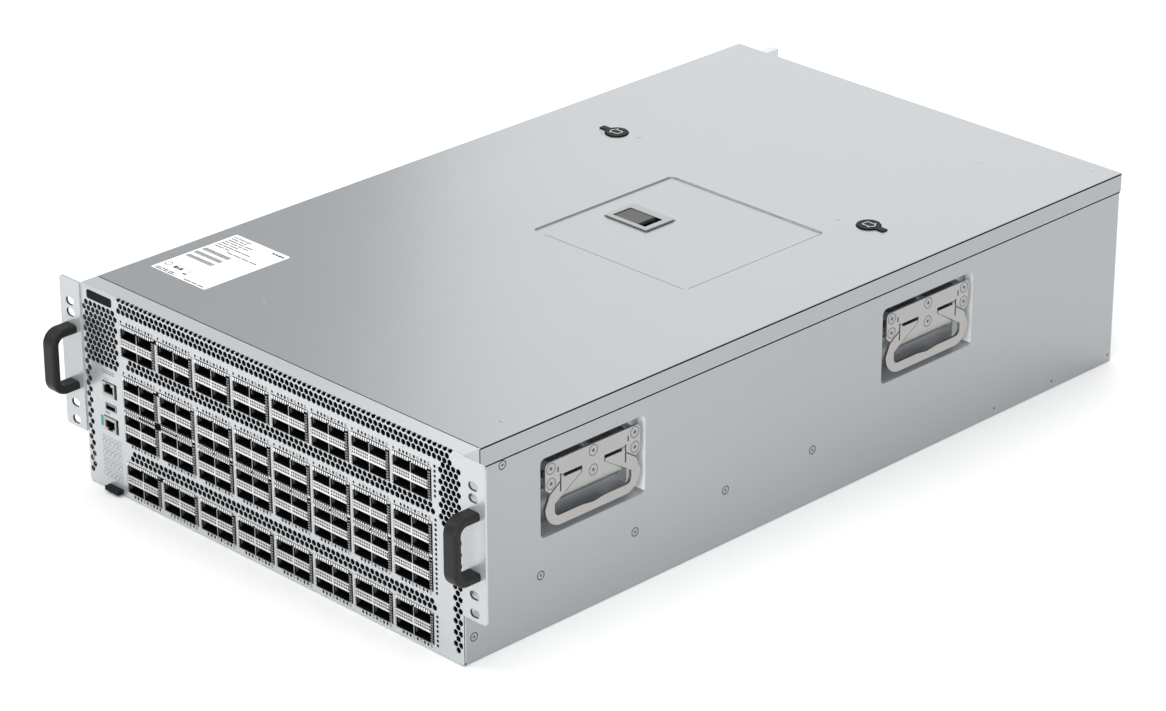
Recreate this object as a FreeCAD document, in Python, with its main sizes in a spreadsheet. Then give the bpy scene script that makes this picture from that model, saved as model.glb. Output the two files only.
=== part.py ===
"""Modular chassis switch, four rack units high, in millimetres.

Frame: X to the right seen from the front, Y to the back, Z up, with the origin at the
centre of the chassis floor's underside.  Each sub-part is one object of the document,
labelled with its name, and takes its sizes from the sheet called Sizes.
"""

import FreeCAD, Part
import Sketcher
import math
import os

from FreeCAD import Placement, Rotation, Vector

doc = FreeCAD.newDocument("ChassisSwitch")
sheet = doc.addObject("Spreadsheet::Sheet", "Sizes")

SIZES = [
    # chassis and cover
    ("body_width", 440.0), ("body_height", 173.5), ("body_depth", 760.0),
    ("plate", 1.2), ("slide_gap", 0.1), ("strip_depth", 17.5), ("skirt_height", 16.5),
    ("cover_seam", 0.2), ("flange_width", 10.0), ("bend_radius", 1.8),
    ("panel_corner", 3.0),
    # pressed panel, latch and locks on the cover
    ("press_left", -43.0), ("press_width", 172.0), ("press_front", -53.5), ("press_length", 162.4),
    ("latch_width", 47.6), ("latch_length", 33.4), ("latch_front", 10.0), ("latch_rise", 1.5),
    ("latch_rim", 1.8), ("latch_cup_depth", 12.0), ("latch_cup_wall", 2.0),
    ("paddle_well_left", -19.0), ("paddle_well_width", 37.0),
    ("paddle_well_front", 14.4), ("paddle_well_length", 20.9),
    ("paddle_length", 26.0), ("paddle_thickness", 3.0), ("paddle_gap", 0.4), ("paddle_pin", 0.8),
    ("lock_radius", 10.0), ("lock_x", 144.4), ("lock_y", 145.6), ("lock_rise", 1.2),
    ("lock_tail_width", 6.0), ("lock_tail_reach", 18.0), ("lock_stem", 3.5), ("lock_fit", 0.3),
    ("lock_cam_length", 14.0), ("lock_cam_drop", 5.0), ("lock_cam_thickness", 2.0),
    # rack ears and their handles
    ("ear_outer", 244.9), ("ear_inner", 220.2), ("ear_foot", 43.5), ("ear_head", 173.3),
    ("ear_plate", 2.0), ("ear_proud", 1.4), ("ear_corner", 3.0), ("ear_leg_plate", 2.2),
    ("ear_leg_depth", 18.0), ("ear_leg_gap", 0.05), ("ear_leg_top", 156.0),
    ("slot_pattern", 465.1), ("slot_length", 10.0), ("slot_width", 7.0),
    ("slot_one_z", 153.8), ("slot_two_z", 144.1), ("slot_three_z", 64.8), ("slot_four_z", 49.9),
    ("grip_foot", 78.2), ("grip_head", 134.6), ("grip_reach", 25.0), ("grip_width", 14.0),
    ("grip_bar", 7.2), ("grip_outer_round", 13.0), ("grip_inner_round", 5.8), ("grip_edge", 2.4),
    # flat-headed screws
    ("screw_head", 3.3), ("screw_shank", 1.5), ("screw_length", 6.0), ("screw_fit", 0.05),
    ("screw_first_y", -300.6), ("screw_pitch", 100.2), ("screw_row_z", 46.1),
    ("screw_top_y", -338.8), ("screw_top_z", 151.3), ("screw_low_y", -369.6), ("screw_low_z", 20.7),
    ("ear_screw_y", -370.0), ("ear_screw_low_z", 60.0), ("ear_screw_step", 40.0),
    ("rivet_hole", 1.0), ("rivet_back", 4.4), ("rivet_step", 75.0), ("rivet_low_z", 6.5),
    # recesses and lifting handles in the side walls
    ("recess_front_y", -245.1), ("recess_back_y", 135.9), ("recess_length", 110.6),
    ("recess_bottom", 76.0), ("recess_height", 65.8), ("recess_corner", 4.6),
    ("recess_depth", 20.0), ("ledge_depth", 8.0), ("ledge_bottom", 112.0),
    ("hold_length", 100.4), ("hold_top", 136.3), ("hold_plate", 2.0), ("hold_corner", 4.0),
    ("slit_y", 34.3), ("slit_width", 1.4), ("slit_bottom", 108.7),
    ("slot_bottom", 119.6), ("slot_top", 122.6), ("arm_inner", 12.5), ("arm_gap", 0.9),
    ("ring_bottom", 81.6), ("ring_round", 17.0), ("ring_opening", 81.0), ("ring_bar_top", 89.6),
    ("ring_inner_round", 5.0), ("ring_plate", 2.5), ("arm_shoulder_z", 117.5),
    ("diagonal_out_y", 45.4), ("diagonal_out_z", 109.1), ("diagonal_in_y", 32.7),
    ("diagonal_in_z", 105.3), ("grip_wave", 1.5), ("grip_wave_half", 12.0),
    ("tongue_round", 14.0), ("tongue_start", 110.0), ("tongue_angle", 62.0),
    ("hinge_inset", 2.1), ("hinge_z", 120.1), ("hinge_pin", 1.2), ("hinge_fit", 0.15),
    ("knuckle_radius", 2.1), ("knuckle_length", 3.0), ("lug_thickness", 3.0), ("lug_depth", 5.0),
    ("lift_screw_head", 4.4), ("lift_screw_shank", 2.0), ("lift_screw_countersink", 1.4),
    ("lift_screw_side", 44.2), ("lift_screw_high", 130.9), ("lift_screw_low", 118.4),
    ("lift_screw_middle", 114.8), ("boss_radius", 3.6),
    # port cages: eight columns in four rows, each cage two ports wide and two high
    ("cage_count", 8.0), ("cage_pitch", 45.2), ("cage_first_x", -170.9), ("port_width", 18.4),
    ("port_height", 8.4), ("port_band", 7.2), ("port_divider", 1.1), ("cage_side", 1.0),
    ("cage_finger_side", 3.0), ("cage_depth", 48.0), ("port_depth", 44.0), ("cage_snout", 0.5),
    ("cut_gap", 0.3), ("seat_wall", 2.0), ("crown_wall", 3.0), ("foot_wall", 0.4),
    ("row_one_z", 125.4), ("row_two_z", 80.9), ("row_four_z", 6.0),
    # vents
    ("hex_pitch", 5.5), ("hex_flats", 4.6), ("vent_top", 158.9), ("vent_rows", 32.0),
    ("vent_wide_rows", 11.0), ("vent_left_x", -213.6), ("vent_right_x", 199.3),
    ("strip_low_z", 163.3), ("strip_first_x", -170.2), ("strip_holes", 69.0),
    # management ports and pull-out tag
    ("jack_x", -190.3), ("jack_width", 15.0), ("jack_height", 12.0), ("jack_depth", 21.0),
    ("jack_cut_width", 17.9), ("jack_cut_height", 13.2), ("jack_shift", 0.9),
    ("jack_upper_z", 89.6), ("jack_lower_z", 58.8), ("jack_mouth_width", 11.8),
    ("jack_mouth_height", 6.8), ("jack_key_width", 6.2), ("jack_key_height", 2.0),
    ("jack_mouth_depth", 13.0), ("jack_snout", 0.8),
    ("usb_x", -188.8), ("usb_z", 74.1), ("usb_width", 13.1), ("usb_height", 5.7),
    ("usb_depth", 17.0), ("usb_shell", 0.5), ("usb_tongue", 1.9), ("usb_snout", 0.6),
    ("bracket_width", 20.0), ("bracket_depth", 23.5),
    ("tag_x", -186.5), ("tag_width", 17.0), ("tag_reach", 6.0), ("tag_bottom", 1.5),
    ("tag_height", 3.7), ("tag_card_width", 15.0), ("tag_card_thickness", 2.0),
    ("tag_card_length", 45.0), ("tag_gap", 0.3),
    # boards and what they carry
    ("board_thickness", 2.5), ("board_width", 360.0), ("board_front_gap", 1.6),
    ("main_board_length", 436.0), ("port_board_length", 124.0),
    ("post_radius", 3.0), ("post_x", 165.0), ("post_front_y", -322.0), ("post_back_y", -262.0),
    ("rear_post_y", 40.0), ("chip_width", 62.0), ("chip_height", 3.5), ("chip_y", -120.0),
    ("sink_width", 116.0), ("sink_base", 6.0), ("sink_height", 60.0), ("fin_count", 21.0),
    ("fin_thickness", 1.2), ("cpu_width", 95.0), ("cpu_length", 130.0), ("cpu_x", -78.0),
    ("cpu_y", -90.0), ("cpu_lift", 10.0), ("cpu_sink_width", 50.0), ("cpu_sink_height", 22.0),
    ("bus_bar_width", 3.0), ("bus_bar_height", 15.0), ("bus_bar_gap", 7.0), ("bus_bar_x", -168.0),
    ("bus_bar_lap", 20.0),
    # rear frame, power supplies and fan trays
    ("bay_left", -216.5), ("psu_width", 73.5), ("psu_height", 40.0), ("psu_length", 182.0),
    ("psu_skin", 1.0), ("bay_gap", 0.4), ("shelf", 1.0), ("shelf_depth", 150.0),
    ("psu_handle_x", 9.0), ("psu_handle_width", 8.0),
    ("psu_handle_bar", 5.0), ("psu_handle_reach", 34.0), ("psu_handle_height", 30.0),
    ("inlet_width", 27.5), ("inlet_height", 20.0), ("inlet_depth", 14.0), ("inlet_x", 30.0),
    ("psu_vent_radius", 11.5), ("psu_vent_x", 58.0), ("lever_width", 3.0), ("lever_reach", 16.0),
    ("lever_height", 16.0), ("lever_x", 70.0), ("lever_pin", 1.0),
    ("power_board_gap", 3.0), ("tray_count", 4.0), ("tray_width", 86.0), ("tray_height", 165.0),
    ("tray_depth", 58.0), ("fan_radius", 39.5), ("fan_pitch", 81.0),
    ("blade_radius", 38.5), ("hub_radius", 17.0), ("rotor_depth", 30.0), ("blade_count", 7.0),
    ("blade_thickness", 1.6), ("blade_angle", 35.0), ("motor_depth", 10.0), ("motor_back", 6.0),
    ("spoke_width", 3.0), ("spoke_depth", 4.0), ("shaft_radius", 2.0), ("shaft_fit", 0.15),
    ("rotor_gap", 0.3), ("tray_handle_height", 60.0), ("tray_handle_reach", 28.0),
    ("tray_handle_bar", 6.0), ("tray_handle_width", 10.0), ("tray_handle_x", 8.0),
    ("fan_board_height", 30.0), ("fan_board_gap", 3.0),
]


class Size:
    """A length that knows both its value and the sheet expression it comes from."""

    def __init__(self, value, text):
        self.value = value
        self.text = text

    def join(self, other, sign, value):
        return Size(value, f"({self.text} {sign} {as_size(other).text})")

    def __add__(self, other):
        return self.join(other, "+", self.value + as_size(other).value)

    def __sub__(self, other):
        return self.join(other, "-", self.value - as_size(other).value)

    def __mul__(self, other):
        return self.join(other, "*", self.value * as_size(other).value)

    def __truediv__(self, other):
        return self.join(other, "/", self.value / as_size(other).value)

    def __neg__(self):
        return as_size(0.0) - self

    def __radd__(self, other):
        return as_size(other) + self

    def __rsub__(self, other):
        return as_size(other) - self

    def __rmul__(self, other):
        return as_size(other) * self


def as_size(number):
    return number if isinstance(number, Size) else Size(float(number), f"{float(number):.6f}")


class Sheet:
    """Named sizes, each kept once in a cell of the spreadsheet."""

    def __init__(self, rows):
        for row, (alias, number) in enumerate(rows, start=1):
            sheet.set(f"A{row}", alias)
            sheet.set(f"B{row}", str(number))
            sheet.setAlias(f"B{row}", alias)
            setattr(self, alias, Size(number, f"Sizes.{alias}"))


S = Sheet(SIZES)
doc.recompute()
nodes = []
SIDES = {"left": -1, "right": 1}


# ---- shared builders ---------------------------------------------------------------

def bind(feature, **sizes):
    """Tie properties of a feature, with dots written as double underscores, to sizes."""
    for name, size in sizes.items():
        feature.setExpression(name.replace("__", "."), as_size(size).text)


def box(low, size):
    """A block from its lowest corner and its three sizes."""
    block = doc.addObject("Part::Box", "Block")
    bind(block, Placement__Base__x=low[0], Placement__Base__y=low[1], Placement__Base__z=low[2],
         Length=size[0], Width=size[1], Height=size[2])
    return block


def between(x_pair, y_pair, z_pair):
    """A block between two planes along each axis."""
    pairs = (x_pair, y_pair, z_pair)
    return box([as_size(a) for a, b in pairs], [as_size(b) - a for a, b in pairs])


TURNS = {"X": Rotation(Vector(0, 1, 0), 90), "Y": Rotation(Vector(1, 0, 0), -90),
         "Z": Rotation()}


def rod(axis, base, radius, length, tip_radius=None):
    """A cylinder, or a cone when a second radius is given, along one axis."""
    kind = "Part::Cylinder" if tip_radius is None else "Part::Cone"
    bar = doc.addObject(kind, "Rod")
    bar.Placement = Placement(Vector(), TURNS[axis])
    bind(bar, Placement__Base__x=base[0], Placement__Base__y=base[1], Placement__Base__z=base[2],
         Height=length)
    if tip_radius is None:
        bind(bar, Radius=radius)
    else:
        bind(bar, Radius1=radius, Radius2=tip_radius)
    return bar


def fuse(parts):
    joined = doc.addObject("Part::MultiFuse", "Joined")
    joined.Shapes = parts
    joined.Refine = True
    return joined


def cut(base, tools):
    rest = doc.addObject("Part::Cut", "Rest")
    rest.Base = base
    rest.Tool = tools[0] if len(tools) == 1 else fuse(tools)
    rest.Refine = True
    return rest


def rounded(solid, radius, wanted):
    """Round the straight edges of a solid that the test function picks."""
    doc.recompute()
    picked = [number for number, edge in enumerate(solid.Shape.Edges, start=1)
              if edge.Curve.TypeId == "Part::GeomLine" and wanted(edge)]
    fillet = doc.addObject("Part::Fillet", "Rounded")
    fillet.Base = solid
    fillet.Edges = [(number, as_size(radius).value, as_size(radius).value) for number in picked]
    return fillet


def runs_along(edge, axis):
    direction = edge.tangentAt(edge.FirstParameter)
    return abs(abs(getattr(direction, axis)) - 1.0) < 1e-6


def keep(feature, name):
    """Name a finished sub-part."""
    feature.Label = name
    nodes.append(feature)
    return feature


def keep_shape(shape, name):
    """A finished sub-part whose shape was made with Part's own functions."""
    feature = doc.addObject("Part::Feature", "Piece")
    feature.Shape = shape
    return keep(feature, name)


def copy_of(master, name, placement):
    """Another piece like the master, moved to its own place."""
    doc.recompute()
    feature = doc.addObject("Part::Feature", "Copy")
    feature.Shape = master.Shape.copy()
    feature.Placement = placement.multiply(feature.Placement)
    return keep(feature, name)


def new_body(name):
    body = doc.addObject("PartDesign::Body", "Body")
    return keep(body, name)


def new_sketch(body, plane, offset):
    """A sketch on one of the body's own origin planes, lifted along its normal."""
    sketch = body.newObject("Sketcher::SketchObject", "Outline")
    support = [item for item in body.Origin.OriginFeatures if item.Role == plane][0]
    sketch.AttachmentSupport = [(support, "")]
    sketch.MapMode = "FlatFace"
    bind(sketch, AttachmentOffset__Base__z=offset)
    return sketch


def outline(sketch, points):
    """A closed outline of straight lines, each corner tied to its two sizes."""
    corners = [(as_size(a), as_size(b)) for a, b in points]
    first = sketch.GeometryCount
    count = len(corners)
    for index, (a, b) in enumerate(corners):
        c, d = corners[(index + 1) % count]
        line = Part.LineSegment(Vector(a.value, b.value, 0), Vector(c.value, d.value, 0))
        sketch.addGeometry(line, False)
    for index in range(count):
        following = first + (index + 1) % count
        sketch.addConstraint(Sketcher.Constraint("Coincident", first + index, 2, following, 1))
    for index, (a, b) in enumerate(corners):
        for kind, size in (("DistanceX", a), ("DistanceY", b)):
            number = sketch.addConstraint(
                Sketcher.Constraint(kind, -1, 1, first + index, 1, size.value))
            sketch.setExpression(f"Constraints[{number}]", size.text)


def circle(sketch, x, y, radius):
    x, y, radius = as_size(x), as_size(y), as_size(radius)
    ring = sketch.addGeometry(
        Part.Circle(Vector(x.value, y.value, 0), Vector(0, 0, 1), radius.value), False)
    for kind, size in (("DistanceX", x), ("DistanceY", y)):
        number = sketch.addConstraint(Sketcher.Constraint(kind, -1, 1, ring, 3, size.value))
        sketch.setExpression(f"Constraints[{number}]", size.text)
    number = sketch.addConstraint(Sketcher.Constraint("Radius", ring, radius.value))
    sketch.setExpression(f"Constraints[{number}]", radius.text)


def pad(body, sketch, length, kind="PartDesign::Pad", reverse=False, midplane=False):
    feature = body.newObject(kind, "Step")
    feature.Profile = sketch
    bind(feature, Length=length)
    feature.Reversed = reverse
    feature.SideType = "Symmetric" if midplane else "One side"
    body.Tip = feature
    return feature


def body_round(body, radius, wanted):
    """Round the edges of the body's last feature that the test function picks."""
    doc.recompute()
    last = body.Tip
    names = [f"Edge{number}" for number, edge in enumerate(last.Shape.Edges, start=1)
             if wanted(edge)]
    fillet = body.newObject("PartDesign::Fillet", "Rounding")
    fillet.Base = (last, names)
    bind(fillet, Radius=radius)
    body.Tip = fillet
    return fillet


# ---- places that several sub-parts share -------------------------------------------

front = -S.body_depth / 2
back = S.body_depth / 2
wall_outer = S.body_width / 2 - S.plate - S.slide_gap
wall_inner = wall_outer - S.plate
panel_back = front + S.plate
tray_top = S.body_height - S.plate - S.slide_gap
skirt_foot = S.body_height - S.skirt_height
cage_opening_height = 2 * S.port_height + S.port_band
cage_opening_width = 2 * S.port_width + S.port_divider
row_three_z = S.row_two_z - 2 * S.seat_wall - S.board_thickness - cage_opening_height
upper_board_z = S.row_one_z - S.seat_wall - S.board_thickness
main_board_z = S.row_two_z - S.seat_wall - S.board_thickness
lower_board_z = S.row_four_z + cage_opening_height + S.seat_wall
main_board_top = main_board_z + S.board_thickness
recess_top = S.recess_bottom + S.recess_height
recess_places = {"front": S.recess_front_y, "rear": S.recess_back_y}
bay_right = S.bay_left + S.psu_width + 2 * S.bay_gap
psu_pitch = (tray_top - S.plate - S.shelf) / 4
tray_pitch = (wall_inner - bay_right - S.shelf) / S.tray_count


def number(size):
    return int(round(size.value))


def side_range(sign, low, high):
    """Two X planes at one side, in rising order."""
    return (low, high) if sign > 0 else (-high, -low)


def flat_head(sign, y, z, face, depth, head, shank):
    """The cone of a flat screw head, its wide end at the side wall's outer face."""
    if sign > 0:
        return rod("X", (face - depth, y, z), shank, depth, head)
    return rod("X", (-face, y, z), head, depth, shank)


def shank_rod(sign, y, z, low, high, radius):
    """A screw's shank or its hole, between two distances from the middle plane."""
    start = low if sign > 0 else -high
    return rod("X", (start, y, z), radius, high - low)


def body_screw_places():
    row = [(S.screw_first_y + index * S.screw_pitch, S.screw_row_z) for index in range(4)]
    return row + [(S.screw_top_y, S.screw_top_z), (S.screw_low_y, S.screw_low_z)]


def lift_screw_places(middle):
    places = [(middle + turn * S.lift_screw_side, z)
              for turn in (-1, 1) for z in (S.lift_screw_high, S.lift_screw_low)]
    return places + [(middle, S.lift_screw_high), (middle, S.lift_screw_middle)]


def ear_screw_places():
    return [(S.ear_screw_y, S.ear_screw_low_z + step * S.ear_screw_step) for step in range(3)]


def group(parts, name):
    """Identical separate solids that share one name."""
    bundle = doc.addObject("Part::Compound", "Group")
    bundle.Links = parts
    return keep(bundle, name)


# ---- chassis -----------------------------------------------------------------------

def recess_pieces(sign, middle):
    """The welded tub behind one handle recess: its blocks, its hollow and its ledge."""
    half = S.recess_length / 2
    ends = (middle - half - S.plate, middle + half + S.plate)
    inside = (middle - half, middle + half)
    floor = wall_outer - S.recess_depth
    ledge = wall_outer - S.ledge_depth
    blocks = [
        between(side_range(sign, floor - S.plate, wall_outer), ends,
                (S.recess_bottom - S.plate, S.ledge_bottom + S.plate)),
        between(side_range(sign, ledge - S.plate, wall_outer), ends,
                (S.ledge_bottom, recess_top + S.plate)),
    ]
    hollow = between(side_range(sign, floor, wall_outer + 1.0), inside,
                     (S.recess_bottom, recess_top))
    hollow = rounded(hollow, S.recess_corner, lambda edge: runs_along(edge, "x"))
    shelf_block = between(side_range(sign, ledge - S.plate, ledge), inside,
                          (S.ledge_bottom, recess_top))
    riser = between(side_range(sign, floor - S.plate, ledge), inside,
                    (S.ledge_bottom, S.ledge_bottom + S.plate))
    return blocks, hollow, [shelf_block, riser]


def make_chassis():
    """Folded floor and side walls with turned-in rims and four handle recesses."""
    run = (panel_back, back - S.plate)
    parts = [between((-wall_outer, wall_outer), run, (0.0, S.plate))]
    hollows = []
    ledges = []
    holes = []
    for sign in SIDES.values():
        parts.append(between(side_range(sign, wall_inner, wall_outer), run, (0.0, tray_top)))
        parts.append(between(side_range(sign, wall_outer - S.flange_width, wall_outer), run,
                             (tray_top - S.plate, tray_top)))
        for middle in recess_places.values():
            blocks, hollow, ledge = recess_pieces(sign, middle)
            parts.extend(blocks)
            hollows.append(hollow)
            ledges.extend(ledge)
            for y, z in lift_screw_places(middle):
                holes.append(shank_rod(sign, y, z, wall_outer - S.recess_depth / 2,
                                       wall_outer - S.ledge_depth, S.lift_screw_shank))
        for y, z in body_screw_places():
            holes.append(flat_head(sign, y, z, wall_outer, S.plate, S.screw_head + S.screw_fit,
                                   S.screw_shank + S.screw_fit))
        for y, z in ear_screw_places():
            holes.append(shank_rod(sign, y, z, wall_inner, wall_outer, S.screw_shank))
        for step in range(3):
            y = back - S.rivet_back - step * S.rivet_step
            holes.append(shank_rod(sign, y, S.rivet_low_z, wall_inner, wall_outer, S.rivet_hole))
    tub = cut(fuse(parts), hollows)
    keep(cut(fuse([tub] + ledges), holes), "chassis")


def make_body_screws():
    """Flat-headed screws, six in each side wall."""
    screws = []
    for sign in SIDES.values():
        for y, z in body_screw_places():
            head = flat_head(sign, y, z, wall_outer, S.plate, S.screw_head, S.screw_shank)
            shank = shank_rod(sign, y, z, wall_outer - S.screw_length, wall_inner, S.screw_shank)
            screws.append(fuse([head, shank]))
    group(screws, "body_screws")


# ---- front panel -------------------------------------------------------------------

def rectangle_wire(x_low, x_high, z_low, z_high, y):
    points = [(x_low, z_low), (x_high, z_low), (x_high, z_high), (x_low, z_high)]
    return Part.makePolygon([Vector(x, y, z) for x, z in points + points[:1]])


def hexagon_wire(x, z, y):
    """A vent hole, flat sides upright and a corner at the top."""
    radius = S.hex_flats.value / math.sqrt(3)
    corners = [Vector(x + radius * math.sin(k * math.pi / 3), y,
                      z + radius * math.cos(k * math.pi / 3)) for k in range(7)]
    return Part.makePolygon(corners)


def vent_holes():
    """Centres of the vent holes: two side fields, their edge columns and the top strip."""
    pitch = S.hex_pitch.value
    row_step = pitch * math.sqrt(3) / 2
    places = []
    for row in range(number(S.vent_rows)):
        z = S.vent_top.value - row * row_step
        staggered = row % 2
        wide = row < number(S.vent_wide_rows)
        left = S.vent_left_x.value - staggered * pitch / 2
        right = S.vent_right_x.value - staggered * pitch / 2
        left_holes = range(7 + staggered) if wide else range(1)
        right_holes = range(4) if wide else range(3 if staggered else 2, 4)
        places += [(left + k * pitch, z) for k in left_holes]
        places += [(right + k * pitch, z) for k in right_holes]
    for row in range(2):
        z = S.strip_low_z.value + row * row_step
        first = S.strip_first_x.value - (1 - row) * pitch / 2
        places += [(first + k * pitch, z) for k in range(number(S.strip_holes) + 1 - row)]
    return places


def cage_cut_outs():
    """The three bands of port cut-outs, the middle one shared by two rows of cages."""
    gap = S.cut_gap.value
    low = [S.row_one_z - S.foot_wall, row_three_z - S.foot_wall, S.row_four_z - S.foot_wall]
    high = [S.row_one_z + cage_opening_height + S.crown_wall,
            S.row_two_z + cage_opening_height + S.crown_wall, lower_board_z]
    wires = []
    for column in range(number(S.cage_count)):
        left = (S.cage_first_x + column * S.cage_pitch - S.cage_side).value
        right = left + (S.cage_side + cage_opening_width + S.cage_finger_side).value
        for bottom, top in zip(low, high):
            wires.append(rectangle_wire(left - gap, right + gap, bottom.value - gap,
                                        top.value + gap, front.value))
    return wires


def panel_openings():
    """Cut-outs for the two network jacks, the serial port and the pull-out tag."""
    y = front.value
    wires = []
    for z in (S.jack_upper_z, S.jack_lower_z):
        middle = (S.jack_x + S.jack_shift).value
        wires.append(rectangle_wire(middle - S.jack_cut_width.value / 2,
                                    middle + S.jack_cut_width.value / 2,
                                    z.value - S.jack_cut_height.value / 2,
                                    z.value + S.jack_cut_height.value / 2, y))
    half = S.usb_width.value / 2 + S.cut_gap.value
    tall = S.usb_height.value / 2 + S.cut_gap.value
    wires.append(rectangle_wire(S.usb_x.value - half, S.usb_x.value + half,
                                S.usb_z.value - tall, S.usb_z.value + tall, y))
    half = S.tag_card_width.value / 2 + S.tag_gap.value
    wires.append(rectangle_wire(S.tag_x.value - half, S.tag_x.value + half, S.plate.value,
                                (S.tag_bottom + S.tag_card_thickness + S.tag_gap).value, y))
    return wires


def panel_outline():
    """The panel's edge, with its two lower corners rounded."""
    half = S.body_width.value / 2
    top = (S.body_height - S.bend_radius).value
    corner = S.panel_corner.value
    y = front.value
    turn = corner * (1 - math.sqrt(0.5))
    return Part.Wire([
        Part.makeLine(Vector(-half, y, top), Vector(-half, y, corner)),
        Part.Arc(Vector(-half, y, corner), Vector(-half + turn, y, turn),
                 Vector(-half + corner, y, 0)).toShape(),
        Part.makeLine(Vector(-half + corner, y, 0), Vector(half - corner, y, 0)),
        Part.Arc(Vector(half - corner, y, 0), Vector(half - turn, y, turn),
                 Vector(half, y, corner)).toShape(),
        Part.makeLine(Vector(half, y, corner), Vector(half, y, top)),
        Part.makeLine(Vector(half, y, top), Vector(-half, y, top)),
    ])


def panel_strip():
    """The bend over the top edge and the strip that runs back to the cover's seam."""
    half = S.body_width.value / 2
    bend = S.bend_radius.value
    plate = S.plate.value
    y = front.value
    top = S.body_height.value
    seam = (front + S.strip_depth).value
    middle = bend * (1 - math.sqrt(0.5))
    inner = (bend - plate) * math.sqrt(0.5)

    def point(along, height):
        return Vector(-half, along, height)

    profile = Part.Wire([
        Part.Arc(point(y, top - bend), point(y + middle, top - middle),
                 point(y + bend, top)).toShape(),
        Part.makeLine(point(y + bend, top), point(seam, top)),
        Part.makeLine(point(seam, top), point(seam, top - plate)),
        Part.makeLine(point(seam, top - plate), point(y + bend, top - plate)),
        Part.Arc(point(y + bend, top - plate), point(y + bend - inner, top - bend + inner),
                 point(y + plate, top - bend)).toShape(),
        Part.makeLine(point(y + plate, top - bend), point(y, top - bend)),
    ])
    return Part.Face(profile).extrude(Vector(2 * half, 0, 0))


def block_shape(x_pair, y_pair, z_pair):
    """A plain block between planes, as a shape."""
    low = Vector(x_pair[0], y_pair[0], z_pair[0])
    return Part.makeBox(x_pair[1] - x_pair[0], y_pair[1] - y_pair[0], z_pair[1] - z_pair[0], low)


def make_front_panel():
    """One folded sheet: vented face, top strip, side lips and two screw tabs."""
    wires = [panel_outline()] + cage_cut_outs() + panel_openings()
    wires += [hexagon_wire(x, z, front.value) for x, z in vent_holes()]
    face = Part.makeFace(wires, "Part::FaceMakerBullseye")
    panel = face.extrude(Vector(0, S.plate.value, 0))
    pieces = [panel_strip()]
    run = (panel_back.value, (front + S.strip_depth).value)
    for sign in SIDES.values():
        lip = side_range(sign, (S.body_width / 2 - S.plate).value, S.body_width.value / 2)
        pieces.append(block_shape(lip, run, (skirt_foot.value,
                                             (S.body_height - S.bend_radius).value)))
        pieces.append(block_shape(lip, (run[0] + S.plate.value, run[1]),
                                  (skirt_foot.value, (S.body_height - S.plate).value)))
        tab = side_range(sign, (wall_inner - S.plate).value, wall_inner.value)
        half = S.screw_head.value * 2
        flap = block_shape(tab, run, (S.screw_low_z.value - half, S.screw_low_z.value + half))
        hole = Part.makeCylinder((S.screw_shank + S.screw_fit).value, 2 * S.body_width.value,
                                 Vector(-S.body_width.value, S.screw_low_y.value,
                                        S.screw_low_z.value), Vector(1, 0, 0))
        pieces.append(flap.cut(hole))
    keep_shape(panel.multiFuse(pieces).removeSplitter(), "front_panel")


# ---- top cover, its latch and locks ------------------------------------------------

def make_top_cover():
    """Sliding lid with down-turned skirts and a pressed panel round the latch."""
    run = (front + S.strip_depth + S.cover_seam, back)
    top = (S.body_height - S.plate, S.body_height)
    half = S.body_width / 2
    parts = [between((-half, half), run, top)]
    for sign in SIDES.values():
        parts.append(between(side_range(sign, half - S.plate, half), run,
                             (skirt_foot, S.body_height)))
    right = S.press_left + S.press_width
    rear = S.press_front + S.press_length
    parts.append(between((S.press_left - S.plate, right + S.plate),
                         (S.press_front - S.plate, rear + S.plate),
                         (S.body_height - 2 * S.plate, S.body_height - S.plate)))
    dish = between((S.press_left, right), (S.press_front, rear),
                   (S.body_height - S.plate, S.body_height + 1.0))
    dish = rounded(dish, S.hold_corner, lambda edge: runs_along(edge, "z"))
    inner = S.latch_width / 2 - S.latch_rim
    window = between((-inner, inner), (S.latch_front + S.latch_rim,
                                       S.latch_front + S.latch_length - S.latch_rim),
                     (S.body_height - 3 * S.plate, S.body_height + 1.0))
    cuts = [dish, window]
    for sign in SIDES.values():
        cuts.append(rod("Z", (sign * S.lock_x, S.lock_y, S.body_height - 3 * S.plate),
                        S.lock_stem + S.lock_fit, 4 * S.plate))
    keep(cut(fuse(parts), cuts), "top_cover")


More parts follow.
